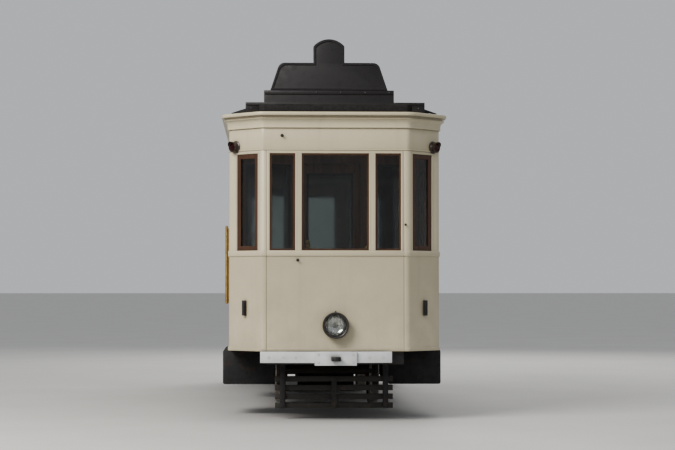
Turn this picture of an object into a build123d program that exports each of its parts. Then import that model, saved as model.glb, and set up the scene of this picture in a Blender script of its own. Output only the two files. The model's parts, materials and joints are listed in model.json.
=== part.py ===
from build123d import *
import os
from math import cos, radians, sin, sqrt

# Two-axle, double-ended tram. Millimetres.
# X is across the car, Y along it with the front at -Y, Z up from the bottoms of the wheel flanges.

# Body
body_width = 2100
body_length = 8700
corner_cut = 330
bend_radius = 60
wall = 45
sole_z = 690
waist_z = 1680
window_top_z = 2635
wall_top_z = 2665
cornice_z = 2885
cornice_height = 155
cornice_proud = 75
# Bands of the cornice from its foot up, as shares of its height and reach: top, reach below, reach above
cornice_bands = ((0.14, 0.16, 0.24), (0.60, 0.24, 0.74), (0.78, 0.50, 0.50), (1.0, 1.0, 1.0))
moulding_proud = 10
moulding_height = 55
skirt_moulding = 35

# Roof
roof_inset = 20
roof_edge = 20
roof_rise = 125
roof_shell = 35
roof_end_drop = 60
roof_end_run = 900

# Saloon, platforms and doorways
saloon_floor_z = 880
platform_floor_z = 740
floor_thick = 50
platform_length = 1750
bulkhead_thick = 40
doorway = 660
doorway_lap = 20
door_gap = 8
door_thick = 37
door_end_gap = 5
door_travel = 640
runner_height = 10
runner_width = 8
seat_gap = 0.3
door_top_z = 2755
guide_thick = 12
guide_lip = 60
guide_side_gap = 12
inner_door_width = 690
inner_doorway = 660
inner_door_top = 2650
door_frame = 95
door_panel_depth = 12
lock_rail_z = 1270

# Windows
glass_thick = 6
saloon_windows = 5
saloon_post = 140
saloon_end_post = 100
front_window = 660
front_post = 65
end_corner_post = 75
corner_window = 293
corner_post = 62
platform_post = 90
bulkhead_post = 90
bulkhead_side_post = 105

# Running gear
axle_z = 400
wheelbase = 2800
tread_radius = 380
flange_radius = 400
flange_bevel = 10
tread_taper = 4
wheel_back = 465
wheel_width = 110
flange_thick = 27
rim_thick = 55
web_thick = 26
hub_radius = 105
hub_inside = 25
hub_outside = 15
axle_radius = 65
journal_radius = 45
journal_gap = 0.3
journal_end_gap = 6
frame_x = 640
frame_thick = 25
frame_overhang = 217
frame_bottom = 300
frame_bar = 95
frame_end_bar = 57
frame_tie = 45
frame_corner = 60
box_width = 190
box_height = 190
box_length = 110
box_inset = 30
box_wall = 14
box_cover_edge = 25
box_cover_thick = 24
jaw = 75
jaw_flare = 30
jaw_shoulder = 10
spring_width = 50
spring_gap = 7
leaf_thick = 11
leaf_count = 6
leaf_half = 430
leaf_step = 62
leaf_radius = 1550
hanger_width = 50
buckle_half = 38
buckle_edge = 6
cross_y = 620
cross_width = 80
cross_height = 90
motor_width = 640
motor_radius = 215
motor_y = 410
motor_end_cap = 40
motor_case_half = 160
motor_case_front = 130
nose_half = 90
nose_height = 70
nose_lap = 20
shoe_gap = 8
shoe_thick = 45
shoe_width = 68
shoe_side_gap = 8
shoe_angle = 44
shoe_lap = 12
brake_hanger_width = 28
brake_hanger_height = 50
brake_beam_width = 60
brake_beam_height = 44

# Underframe
solebar_width = 75
transom_width = 70
bearer_height = 130
bearer_width = 70
bearer_x = 515
bearer_wheel_gap = 50
transom_pitch = 945
cross_bearer_gap = 585

# Ends, where a shift is to the left of someone who faces that end
bumper_end_gap = 75
bumper_shift = 93
bumper_height = 110
bumper_thick = 45
bumper_proud = 95
bumper_seat = 20
pocket_half = 205
pocket_neck_half = 150
pocket_height = 135
pocket_proud = 15
drawbar_width = 90
drawbar_thick = 40
drawbar_reach = 175
pin_radius = 20
lamp_radius = 130
lamp_depth = 95
lamp_z = 945
lamp_neck = 100
lamp_rim = 24
lamp_bead = 4
lamp_recess = 30
lamp_glass_thick = 20
marker_radius = 52
marker_depth = 55
marker_z = 2712
marker_setback = 95
bracket_z = 1114
bracket_height = 150
bracket_width = 34
bracket_reach = 32
bracket_thick = 8
bracket_foot = 14

# Steps and guards
step_gap = 40
step_z = 350
step_proud = 75
step_tread = 30
step_plate = 18
step_corner = 20
step_shoulder = 45
guard_half = 590
guard_setback = 450
guard_low = 110
guard_high = 430
guard_slat = 55
guard_count = 4
guard_thick = 28

# Headboards
board_setback = 185
board_thick = 120
board_shift = 62
board_plinth_half = 885
board_plinth_z = 3144
board_base_half = 642
board_base_z = 3263
board_low_half = 580
board_shoulder_half = 488
board_shoulder_z = 3536
board_shoulder_radius = 70
board_box_half = 153
board_arch_rise = 70
board_top_z = 3770

# Trolley pole
plank_half_width = 230
plank_half_length = 620
plank_z = 3245
table_radius = 150
table_foot = 24
table_thick = 28
spigot_radius = 30
spigot_proud = 8
pivot_z = 3400
pivot_radius = 15
pivot_end = 6
cheek_x = 62
cheek_thick = 14
cheek_half = 55
cheek_rise = 35
cheek_corner = 30
pole_steps = ((27, 1300), (23, 1300), (19, 1340))
tension_spring = 460
spring_barrel = 24
spring_side = 42
spring_drop = 62
spring_back = 60
stand_arm_reach = 70
stand_arm_half = 20
stand_arm_drop = 40
pole_hub = 42
hub_gap = 5
head_radius = 34
head_rise = 20
head_width = 30
rest_setback = 750
rest_width = 120
rest_gap = 8

# Inside
seat_top = 440
seat_depth = 440
seat_thick = 38
seat_back_height = 460
seat_roll = 12
seat_roll_depth = 60
seat_dip = 22
seat_back_foot = 70
seat_back_thick = 28
bench_gap = 120
leg_thick = 40
leg_setback = 70
leg_count = 7
rail_x = 450
rail_radius = 15
rail_z = 2760
rail_hanger = 24
rail_hanger_gap = 40
hanger_length = 500
controller_radius = 165
controller_height = 960
controller_x = 260
controller_gap = 225
controller_back_drop = 60
spindle_radius = 22
spindle_height = 50
lever_reach = 200
lever_width = 30
lever_thick = 20
column_x = -330
column_radius = 22
column_height = 880
crank_reach = 210
crank_tail = 30
crank_width = 40
crank_thick = 22
crank_knob = 120
crank_knob_radius = 17
handle_radius = 14
handle_low = 1150
handle_high = 1950
handle_reach = 38
handle_foot = 20
handle_foot_gap = 40
handle_rear_gap = 55
handle_front_gap = 40
equipment_half = 430
equipment_low = 390
equipment_gap = 35
equipment_wall_gap = 10
louvre_count = 7
louvre_pitch = 32
louvre_height = 12
louvre_depth = 12
louvre_edge = 50

half_width = body_width / 2
half_length = body_length / 2
flat_half = half_width - corner_cut
corner_y = half_length - corner_cut
inner_x = half_width - wall
inner_y = half_length - wall
roof_z = cornice_z + cornice_height
axle_y = wheelbase / 2
bulkhead_y = half_length - platform_length
doorway_start = bulkhead_y + bulkhead_thick
doorway_end = doorway_start + doorway
wheel_face = wheel_back + wheel_width
saloon_pitch = 2 * (bulkhead_y - saloon_end_post) / saloon_windows
saloon_window = saloon_pitch - saloon_post
bearer_start = axle_y + flange_radius + bearer_wheel_gap
frame_face = frame_x + frame_thick
spring_inner = frame_face + spring_gap
box_top = axle_z + box_height / 2
spring_centre = box_top + leaf_thick * (leaf_count + 1) + leaf_radius
bearer_low = platform_floor_z - floor_thick - bearer_height
drawbar_z = sole_z - pocket_height / 2
frame_half_length = axle_y + tread_radius + shoe_gap + shoe_thick + frame_overhang
guard_y = half_length - guard_setback
board_y = half_length - board_setback
rest_y = half_length - rest_setback
bench_half = bulkhead_y - bench_gap
controller_y = inner_y - controller_gap
pole_length = sum(length for radius, length in pole_steps)


def block(x, y, z):
    size = Box(x[1] - x[0], y[1] - y[0], z[1] - z[0])
    return Pos(sum(x) / 2, sum(y) / 2, sum(z) / 2) * size


# Cylinder that stands on its base
def post(radius, height):
    return Cylinder(radius, height, align=(Align.CENTER, Align.CENTER, Align.MIN))


def front_and_rear(shape):
    return [shape, mirror(shape, about=Plane.XZ)]


def left_and_right(shape):
    return [shape, mirror(shape, about=Plane.YZ)]


def four_corners(shape):
    return [copy for side in left_and_right(shape) for copy in front_and_rear(side)]


# The driver's gear, the boards and the bumpers are turned, not mirrored, from one end to the other
def turned_ends(shape):
    return [shape, Rot(0, 0, 180) * shape]


def save(name, *shapes):
    solids = [solid for shape in shapes for solid in shape.solids()]
    export_step(Compound(children=solids), f"parts/{name}.step")


# Plan outline of the body: a rectangle with its corners cut at 45 degrees and the bends rounded,
# moved outward by gap
def plan(gap):
    x = half_width + gap
    y = half_length + gap
    cut = corner_cut + gap * (2 - sqrt(2))
    quarter = [(x - cut, y), (x, y - cut)]
    points = quarter + [(px, -py) for px, py in reversed(quarter)]
    points += [(-px, -py) for px, py in quarter] + [(-px, py) for px, py in reversed(quarter)]
    face = make_face(Polyline(*points, close=True))
    return fillet(face.vertices(), bend_radius + gap)


def band(low, high, proud, depth):
    return Pos(0, 0, low) * extrude(plan(proud) - plan(-depth), amount=high - low)


# Place on the body's skin: local X runs along the wall and local Y points out of it
def on_end(along):
    return Pos(along, half_length, 0)


def on_corner(along):
    direction = Pos(flat_half, half_length, 0) * Rot(0, 0, -45)
    return direction * Pos(along, 0, 0)


def on_side(y):
    return Pos(half_width, y, 0) * Rot(0, 0, -90)


def window_hole(place, width, low=waist_z, high=window_top_z):
    hole = block((-width / 2, width / 2), (-2 * wall, wall), (low, high))
    return place * hole


def window_pane(place, width, low=waist_z, high=window_top_z):
    middle = -wall / 2
    pane = block(
        (-width / 2, width / 2),
        (middle - glass_thick / 2, middle + glass_thick / 2),
        (low, high),
    )
    return place * pane


# Windows of one rear right quarter: place on the skin, width
quarter_start = front_window / 2 + front_post
quarter_window = flat_half - end_corner_post - quarter_start
quarter_x = quarter_start + quarter_window / 2
end_windows = [(on_end(0), front_window), (on_end(quarter_x), quarter_window),
               (on_end(-quarter_x), quarter_window)]
platform_window = corner_y - doorway_end - 2 * platform_post
corner_windows = [(on_corner(corner_post + corner_window / 2), corner_window),
                  (on_side((doorway_end + corner_y) / 2), platform_window)]
side_windows = [(on_side((i - (saloon_windows - 1) / 2) * saloon_pitch), saloon_window)
                for i in range(saloon_windows)]

# Windows beside the bulkhead's doorway
bulkhead_window = inner_x - bulkhead_side_post - inner_doorway / 2 - bulkhead_post
bulkhead_window_x = inner_doorway / 2 + bulkhead_post + bulkhead_window / 2


def body_shell():
    shell = band(sole_z, wall_top_z, 0, wall)
    shell += band(waist_z - moulding_height, waist_z, moulding_proud, wall)
    shell += band(sole_z, sole_z + skirt_moulding, moulding_proud, wall)
    return shell


def walls():
    shell = body_shell()
    tall = (0, wall_top_z + 1)
    far = 2 * body_length
    post_x = flat_half - wall
    end = shell & block((-post_x, post_x), (corner_y, far), tall)
    corner = shell & block((post_x, far), (doorway_end, far), tall)
    side = shell & block((0, far), (-doorway_start, doorway_start), tall)
    for place, width in end_windows:
        end -= window_hole(place, width)
    for place, width in corner_windows:
        corner -= window_hole(place, width)
    for place, width in side_windows:
        side -= window_hole(place, width)
    for name, shape in zip(("end_wall_rear", "end_wall_front"), front_and_rear(end)):
        save(name, shape)
    for name, shape in zip(("vestibule_sides_rear", "vestibule_sides_front"),
                           front_and_rear(Compound(children=left_and_right(corner)))):
        save(name, shape)
    for name, shape in zip(("side_wall_right", "side_wall_left"), left_and_right(side)):
        save(name, shape)


def glazing():
    ends = [window_pane(*window) for window in end_windows]
    corners = [window_pane(*window) for window in corner_windows]
    sides = [window_pane(*window) for window in side_windows]
    save("end_glass", *[p for pane in ends for p in front_and_rear(pane)],
         *[p for pane in corners for p in four_corners(pane)])
    save("saloon_glass", *[p for pane in sides for p in left_and_right(pane)])
    panes = []
    for x in (-bulkhead_window_x, bulkhead_window_x):
        panes.append(block((x - bulkhead_window / 2, x + bulkhead_window / 2),
                           (bulkhead_y + bulkhead_thick / 2 - glass_thick / 2,
                            bulkhead_y + bulkhead_thick / 2 + glass_thick / 2),
                           (waist_z, window_top_z)))
    save("bulkhead_glass", *[p for pane in panes for p in front_and_rear(pane)])


# Volume under the roof's skin: straight edges and a shallow arc across, the ends sloped down
def roof_volume(gap, shell):
    wide = half_width + gap + cornice_proud
    crown = roof_z + roof_edge + roof_rise - shell
    radius = ((half_width + gap) ** 2 + roof_rise ** 2) / (2 * roof_rise)
    side = crown - radius + sqrt(radius ** 2 - wide ** 2)
    across = [Line((-wide, cornice_z), (wide, cornice_z)), Line((wide, cornice_z), (wide, side)),
              ThreePointArc((wide, side), (0, crown), (-wide, side)),
              Line((-wide, side), (-wide, cornice_z))]
    cross = extrude(Plane.XZ * make_face(across), amount=body_length, both=True)
    prism = Pos(0, 0, roof_z) * extrude(plan(gap), amount=2 * (roof_edge + roof_rise))
    start = half_length + gap - roof_end_run
    end = start + 2 * roof_end_run
    slope = make_face(Polyline((start, crown), (end, crown - 2 * roof_end_drop),
                               (end, crown + roof_rise), (start, crown + roof_rise), close=True))
    above = extrude(Plane.YZ * slope, amount=body_width, both=True)
    volume = prism & cross
    return volume - above - mirror(above, about=Plane.XZ)


def roof():
    outer = roof_volume(-roof_inset, 0)
    inner = roof_volume(-wall, roof_shell)
    save("roof", outer - inner)
    save("letterboard", band(wall_top_z, cornice_z, 0, wall))
    return outer, inner


# Cornice round the whole body: a cove, a groove and a square lip
def cornice():
    low = cornice_z
    ring = None
    for top, reach_below, reach_above in cornice_bands:
        high = cornice_z + top * cornice_height
        outlines = [Pos(0, 0, low) * plan(reach_below * cornice_proud),
                    Pos(0, 0, high) * plan(reach_above * cornice_proud)]
        layer = loft(outlines, ruled=True)
        ring = layer if ring is None else ring + layer
        low = high
    inside = Pos(0, 0, cornice_z - 1) * extrude(plan(-wall), amount=cornice_height + 2)
    save("cornice", ring - inside)


def floors():
    saloon = block((-inner_x, inner_x), (-bulkhead_y, bulkhead_y),
                   (saloon_floor_z - floor_thick, saloon_floor_z))
    platform = Pos(0, 0, platform_floor_z - floor_thick) * extrude(plan(-wall), amount=floor_thick)
    platform &= block((-half_width, half_width), (bulkhead_y, body_length), (0, roof_z))
    sill = block((inner_x, half_width), (doorway_start, doorway_end),
                 (platform_floor_z - floor_thick, platform_floor_z))
    platform += sill + mirror(sill, about=Plane.YZ)
    save("floors", saloon, *front_and_rear(platform))


def bulkheads(ceiling):
    blank = block((-inner_x, inner_x), (bulkhead_y, doorway_start), (platform_floor_z, roof_z))
    blank += ceiling & block((-inner_x, inner_x), (bulkhead_y, doorway_start),
                             (roof_z, roof_z + roof_edge + roof_rise))
    blank -= block((-inner_doorway / 2, inner_doorway / 2), (0, body_length),
                   (saloon_floor_z, inner_door_top))
    for x in (-bulkhead_window_x, bulkhead_window_x):
        blank -= block((x - bulkhead_window / 2, x + bulkhead_window / 2), (0, body_length),
                       (waist_z, window_top_z))
    save("bulkheads", *front_and_rear(blank))


# A framed door leaf in its own plane: X along the leaf, Y through it, Z up
def door_leaf(width, low, high):
    leaf = block((0, width), (0, door_thick), (low, high))
    across = (door_frame, width - door_frame)
    light = (waist_z, window_top_z - door_frame)
    leaf -= block(across, (-door_thick, 2 * door_thick), light)
    for z in ((low + door_frame, lock_rail_z), (lock_rail_z + door_frame, waist_z - door_frame)):
        leaf -= block(across, (-door_thick, door_panel_depth), z)
    middle = door_thick / 2
    pane = block(across, (middle - glass_thick / 2, middle + glass_thick / 2), light)
    return leaf, pane


def doors():
    width = doorway - door_end_gap + doorway_lap
    low = platform_floor_z + runner_height + seat_gap
    leaf, pane = door_leaf(width, low, door_top_z)
    outer = inner_x - door_gap
    place = Pos(outer, doorway_start + door_end_gap, 0) * Rot(0, 0, 90)
    names = ("rear_right", "front_right", "rear_left", "front_left")
    for name, shape in zip(names, four_corners(place * leaf)):
        save(f"door_{name}", shape)
    for name, shape in zip(names, four_corners(place * pane)):
        save(f"door_glass_{name}", shape)

    middle = outer - door_thick / 2
    end = doorway_start + width + door_travel
    runner = block((middle - runner_width / 2, middle + runner_width / 2), (doorway_start, end),
                   (platform_floor_z, platform_floor_z + runner_height))
    top = door_top_z + door_end_gap
    lip = outer - door_thick - guide_side_gap
    guide = block((lip - runner_width, inner_x), (doorway_start, end), (top, top + guide_thick))
    guide += block((lip - runner_width, lip), (doorway_start, end), (top - guide_lip, top))
    save("door_tracks", *four_corners(runner), *four_corners(guide))

    low = saloon_floor_z + runner_height + seat_gap
    high = inner_door_top + door_frame
    leaf, pane = door_leaf(inner_door_width, low, high)
    far = bulkhead_y - door_gap
    place = Pos(-inner_door_width / 2, far - door_thick, 0)
    for name, shape in zip(("rear", "front"), front_and_rear(place * leaf)):
        save(f"saloon_door_{name}", shape)
    for name, shape in zip(("rear", "front"), front_and_rear(place * pane)):
        save(f"saloon_door_glass_{name}", shape)
    middle = far - door_thick / 2
    span = (-inner_door_width / 2, inner_x)
    runner = block(span, (middle - runner_width / 2, middle + runner_width / 2),
                   (saloon_floor_z, saloon_floor_z + runner_height))
    top = high + door_end_gap
    lip = far - door_thick - guide_side_gap
    guide = block(span, (lip - runner_width, bulkhead_y), (top, top + guide_thick))
    guide += block(span, (lip - runner_width, lip), (top - guide_lip, top))
    save("saloon_door_tracks", *front_and_rear(runner), *front_and_rear(guide))


# Ladder of solebars and transoms under the saloon, and a frame of bearers that carries each platform
def underframe():
    low = platform_floor_z - floor_thick + seat_gap
    high = saloon_floor_z - floor_thick
    solebar = block((inner_x - solebar_width, inner_x), (-bulkhead_y, bulkhead_y), (low, high))
    ladder = solebar + mirror(solebar, about=Plane.YZ)
    last = bulkhead_y - transom_width / 2
    for y in (-last, -2 * transom_pitch, -transom_pitch, 0, transom_pitch, 2 * transom_pitch, last):
        ladder += block((-inner_x + solebar_width, inner_x - solebar_width),
                        (y - transom_width / 2, y + transom_width / 2), (low, high))
    top = platform_floor_z - floor_thick
    bottom = top - bearer_height
    frame = block((-flat_half + wall, flat_half - wall), (inner_y - transom_width, inner_y), (bottom, top))
    bearer = block((bearer_x - bearer_width / 2, bearer_x + bearer_width / 2),
                   (bearer_start, inner_y), (bottom, top))
    cross_start = inner_y - transom_width - cross_bearer_gap
    frame += bearer + mirror(bearer, about=Plane.YZ)
    frame += block((-bearer_x, bearer_x), (cross_start, cross_start + transom_width), (bottom, top))
    save("underframe", ladder, *front_and_rear(frame))


def truck_frame():
    top = sole_z
    bar_low = top - frame_bar
    tie_top = frame_bottom + frame_tie
    jaw_out = axle_y + box_width / 2 + jaw
    jaw_in = axle_y - box_width / 2 - jaw
    half = [(frame_half_length, top), (frame_half_length, top - frame_end_bar),
            (jaw_out + jaw_flare, bar_low - jaw_shoulder), (jaw_out, frame_bottom)]
    points = half + [(-y, z) for y, z in reversed(half)]
    plate = make_face(Polyline(*points, close=True))
    plate -= Pos(0, (tie_top + bar_low) / 2) * RectangleRounded(2 * jaw_in, bar_low - tie_top, frame_corner)
    for y in (-axle_y, axle_y):
        plate -= Pos(y, axle_z) * Rectangle(box_width, box_height)
    side = Pos(frame_x, 0, 0) * extrude(Plane.YZ * plate, amount=frame_thick)
    hanger = leaf_half + hanger_width / 2
    inside = leaf_half - hanger_width / 2
    for y in (-axle_y, axle_y):
        bracket = block((frame_face, spring_inner + spring_width), (y - hanger, y + hanger), (box_top, top))
        bracket -= block((0, body_width), (y - inside, y + inside), (0, top + 1))
        seat = Cylinder(leaf_radius - seat_gap, body_width)
        side += bracket & Pos(frame_face, y, spring_centre) * Rot(0, 90, 0) * seat
    frame = side + mirror(side, about=Plane.YZ)
    for y in (-cross_y, cross_y):
        frame += block((-frame_x, frame_x), (y - cross_width / 2, y + cross_width / 2),
                       (bar_low - cross_height / 2, bar_low + cross_height / 2))
    for y in (-1, 1):
        far = y * (frame_half_length - cross_width / 2)
        along = (far - cross_width / 2, far + cross_width / 2)
        frame += block((-frame_face, frame_face), along, (bearer_low - cross_height, bearer_low))
        for x in (-frame_face, frame_x):
            frame += block((x, x + frame_thick), along, (bearer_low - cross_height, top - 1))
    save("truck_frame", frame)


def axle_boxes():
    inner = frame_x - box_inset
    middle = Pos(inner, axle_y, axle_z) * Rot(0, 90, 0)
    box = block((inner, inner + box_length), (axle_y - box_width / 2, axle_y + box_width / 2),
                (axle_z - box_height / 2, axle_z + box_height / 2))
    box += middle * Pos(0, 0, box_length) * post(journal_radius + box_cover_edge, box_cover_thick)
    box -= middle * Pos(0, 0, -1) * post(journal_radius + journal_gap, box_length - box_wall)
    save("axle_boxes", *four_corners(box))


# Leaf spring over each axle box: the longest leaf on top, ends turned up to the frame's brackets
def leaf_springs():
    spring = None
    for i in range(leaf_count):
        half = leaf_half + hanger_width / 2 - (leaf_count - 1 - i) * leaf_step
        low = box_top + leaf_thick * (i + 1)
        centre = low + leaf_radius + leaf_thick
        turn = half / leaf_radius
        rings = Circle(leaf_radius + leaf_thick) - Circle(leaf_radius)
        reach = 2 * leaf_radius
        wedge = make_face(Polyline((0, 0), (reach * sin(turn), -reach * cos(turn)),
                                   (-reach * sin(turn), -reach * cos(turn)), close=True))
        leaf = extrude(Plane.YZ * (Pos(0, centre) * (rings & wedge)), amount=spring_width)
        spring = leaf if spring is None else spring + leaf
    buckle_top = box_top + leaf_thick * (leaf_count + 2)
    spring += block((-buckle_edge, spring_width + buckle_edge), (-buckle_half, buckle_half),
                    (box_top, buckle_top))
    save("leaf_springs", *four_corners(Pos(spring_inner, axle_y, 0) * spring))


def wheelsets():
    tread_edge = wheel_back + flange_thick
    web = wheel_back + (wheel_width - web_thick) / 2
    rim = tread_radius - rim_thick
    hub_in = wheel_back - hub_inside
    hub_out = wheel_face + hub_outside
    end = frame_x - box_inset + box_length - box_wall - journal_end_gap
    half = [
        (hub_in, axle_radius), (hub_in, hub_radius), (web, hub_radius), (web, rim), (wheel_back, rim),
        (wheel_back, flange_radius - flange_bevel), (wheel_back + flange_bevel, flange_radius),
        (tread_edge - flange_bevel, flange_radius - flange_bevel / 2),
        (tread_edge, tread_radius + tread_taper / 2), (wheel_face, tread_radius - tread_taper),
        (wheel_face, rim), (web + web_thick, rim), (web + web_thick, hub_radius), (hub_out, hub_radius),
        (hub_out, journal_radius), (end, journal_radius), (end, 0),
    ]
    points = [(-x, r) for x, r in reversed(half)] + half
    section = make_face(Polyline(*points, close=True))
    wheelset = revolve(section, Axis.X)
    for name, shape in zip(("wheelset_rear", "wheelset_front"),
                           front_and_rear(Pos(0, axle_y, axle_z) * wheelset)):
        save(name, shape)


# Axle-hung motor: a drum in a cast case with its nose on the frame's cross member
def motors():
    y = axle_y - motor_y
    drum = Pos(0, y, axle_z) * Rot(0, 90, 0) * Cylinder(motor_radius, motor_width)
    case_half = motor_width / 2 - motor_end_cap
    drum += block((-case_half, case_half), (y - motor_radius, y + motor_case_front),
                  (axle_z - motor_case_half, axle_z + motor_case_half))
    nose_low = sole_z - frame_bar - cross_height / 2 - nose_height
    drum += block((-nose_half, nose_half), (cross_y - cross_width / 2, y - motor_radius + nose_lap),
                  (nose_low, nose_low + nose_height))
    save("motors", *front_and_rear(drum))


# Brake shoes on the outer side of every wheel, hung from the frame's end bars
def brakes():
    inside = tread_radius + shoe_gap
    outside = inside + shoe_thick
    ring = Circle(outside) - Circle(inside)
    reach = 2 * outside
    angle = radians(shoe_angle / 2)
    wedge = make_face(Polyline((0, 0), (reach * cos(angle), reach * sin(angle)),
                               (reach * cos(angle), -reach * sin(angle)), close=True))
    start = wheel_back + flange_thick + shoe_side_gap
    shoe = Pos(start, axle_y, axle_z) * extrude(Plane.YZ * (ring & wedge), amount=shoe_width)
    centre = start + shoe_width / 2
    across = (centre - brake_hanger_width / 2, centre + brake_hanger_width / 2)
    far = frame_half_length - cross_width / 2
    hanger_low = axle_z - brake_hanger_height / 2
    rig = shoe + block(across, (axle_y + outside - shoe_lap, far + cross_width / 2),
                       (hanger_low, axle_z + brake_hanger_height / 2))
    rig += block(across, (far - cross_width / 2, far + cross_width / 2),
                 (hanger_low, bearer_low - cross_height))
    rig += mirror(rig, about=Plane.YZ)
    rig += block((-centre, centre), (far - brake_beam_width / 2, far + brake_beam_width / 2),
                 (axle_z - brake_beam_height / 2, axle_z + brake_beam_height / 2))
    save("brake_rigging", *front_and_rear(rig))


# Boxed step under each doorway, open towards the side, with its outer corners rounded
def entrance_steps():
    low = step_z - step_tread
    high = platform_floor_z - floor_thick
    inner = bearer_x + bearer_width / 2 + step_gap
    outer = half_width + step_proud
    start = doorway_start - step_plate
    end = doorway_end + step_plate
    step = block((inner, outer), (start, end), (low, high))
    outer_edges = step.edges().filter_by(Axis.Y).filter_by_position(Axis.X, outer - 1, outer + 1)
    step = fillet(outer_edges.sort_by(Axis.Z)[0], step_corner)
    top_edges = step.edges().filter_by(Axis.Y).filter_by_position(Axis.X, outer - 1, outer + 1)
    step = fillet(top_edges.sort_by(Axis.Z)[-1], step_shoulder)
    step -= block((inner + step_plate, outer + 1), (start + step_plate, end - step_plate),
                  (step_z, high + 1))
    save("entrance_steps", *four_corners(step))


def lifeguards():
    guard = None
    pitch = (guard_high - guard_low - guard_slat) / (guard_count - 1)
    for i in range(guard_count):
        z = guard_low + i * pitch
        slat = block((-guard_half, guard_half), (guard_y, guard_y + guard_thick), (z, z + guard_slat))
        guard = slat if guard is None else guard + slat
    for x in (-bearer_x, 0, bearer_x):
        high = bearer_low if x else guard_high
        guard += block((x - guard_slat / 2, x + guard_slat / 2),
                       (guard_y + guard_thick - 1, guard_y + 2 * guard_thick), (guard_low, high))
    save("lifeguards", *front_and_rear(guard))


# Bumper bar bowed in plan and set to one side, with the drawbar's pocket on the car's centre line
def bumpers():
    low = sole_z - bumper_height
    bumper_half = flat_half - bumper_end_gap
    back = half_length + moulding_proud
    bow = bumper_proud - bumper_thick - moulding_proud
    start = bumper_shift - bumper_half
    end = bumper_shift + bumper_half
    arc_in = ThreePointArc((start, back), (bumper_shift, back + bow), (end, back))
    arc_out = ThreePointArc((start, back + bumper_thick), (bumper_shift, back + bow + bumper_thick),
                            (end, back + bumper_thick))
    right = Line((end, back), (end, back + bumper_thick))
    left = Line((start, back), (start, back + bumper_thick))
    bar = Pos(0, 0, low) * extrude(make_face([arc_in, right, arc_out, left]), amount=bumper_height)
    pocket_low = sole_z - pocket_height
    bar += block((-pocket_half, pocket_half), (back, half_length + bumper_proud + pocket_proud),
                 (pocket_low, sole_z - 1))
    for x in (-bearer_x, bearer_x):
        bar += block((x - bearer_width / 2, x + bearer_width / 2), (inner_y, back + bumper_thick / 2),
                     (low + bumper_seat, sole_z))
    bar += block((-pocket_neck_half, pocket_neck_half), (inner_y, back + 1), (pocket_low, sole_z))
    bar -= block((-drawbar_width / 2 - seat_gap, drawbar_width / 2 + seat_gap), (0, body_length),
                 (drawbar_z - drawbar_thick / 2 - seat_gap, drawbar_z + drawbar_thick / 2 + seat_gap))
    save("bumpers", *turned_ends(bar))


def drawbars():
    eye_y = half_length + bumper_proud + pocket_proud + drawbar_reach - drawbar_width / 2
    bar = block((-drawbar_width / 2, drawbar_width / 2), (inner_y, eye_y),
                (drawbar_z - drawbar_thick / 2, drawbar_z + drawbar_thick / 2))
    bar += Pos(0, eye_y, drawbar_z) * Cylinder(drawbar_width / 2, drawbar_thick)
    bar -= Pos(0, eye_y, drawbar_z) * Cylinder(pin_radius, 2 * drawbar_thick)
    save("drawbars", *front_and_rear(bar))


# Headlamp with a tapered shell and a proud rim, and its lens; marker lamps; brackets for loose lamps
def lamps():
    glass_radius = lamp_radius - lamp_rim
    rim_start = lamp_depth - lamp_rim
    glass_back = lamp_depth - lamp_recess
    section = make_face(Polyline(
        (0, 0), (lamp_neck, 0), (lamp_radius - lamp_bead, rim_start), (lamp_radius, rim_start),
        (lamp_radius, lamp_depth), (glass_radius, lamp_depth), (glass_radius, glass_back), (0, glass_back),
        close=True))
    shell = Pos(0, half_length, lamp_z) * revolve(section, Axis.Y)
    lens = Pos(0, half_length + glass_back, lamp_z) * Rot(-90, 0, 0) * post(glass_radius, lamp_glass_thick)
    save("headlamps", *front_and_rear(shell))
    save("headlamp_glass", *front_and_rear(lens))
    face = corner_cut * sqrt(2)
    marker = on_corner(face - marker_setback) * Pos(0, 0, marker_z) * Rot(-90, 0, 0) * post(
        marker_radius, marker_depth)
    save("marker_lamps", *four_corners(marker))
    low = bracket_z - bracket_height / 2
    clip = block((-bracket_width / 2, bracket_width / 2), (0, bracket_reach), (low, low + bracket_height))
    clip -= block((-bracket_width, bracket_width), (bracket_thick, bracket_reach - bracket_thick),
                  (low + bracket_foot, low + 2 * bracket_height))
    save("lamp_brackets", *four_corners(on_corner(face / 2) * clip))


# Stepped board with an arched number box on a wide plinth, blank on both faces
def headboards(roof_outer):
    arch_z = board_top_z - board_arch_rise
    rising = Polyline((board_base_half, roof_z), (board_base_half, board_base_z),
                      (board_low_half, board_base_z), (board_shoulder_half, board_shoulder_z),
                      (board_box_half, board_shoulder_z), (board_box_half, arch_z))
    arch = ThreePointArc((board_box_half, arch_z), (0, board_top_z), (-board_box_half, arch_z))
    falling = Polyline((-board_box_half, arch_z), (-board_box_half, board_shoulder_z),
                       (-board_shoulder_half, board_shoulder_z), (-board_low_half, board_base_z),
                       (-board_base_half, board_base_z), (-board_base_half, roof_z))
    foot = Line((-board_base_half, roof_z), (board_base_half, roof_z))
    face = make_face([rising, arch, falling, foot])
    shoulders = [v for v in face.vertices() if abs(abs(v.X) - board_shoulder_half) < 1]
    face = Pos(board_shift, 0) * fillet(shoulders, board_shoulder_radius)
    board = Pos(0, board_y + board_thick, 0) * extrude(Plane.XZ * face, amount=board_thick)
    board += block((-board_plinth_half, board_plinth_half), (board_y, board_y + board_thick),
                   (roof_z, board_plinth_z))
    save("headboards", *turned_ends(board - roof_outer))


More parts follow.
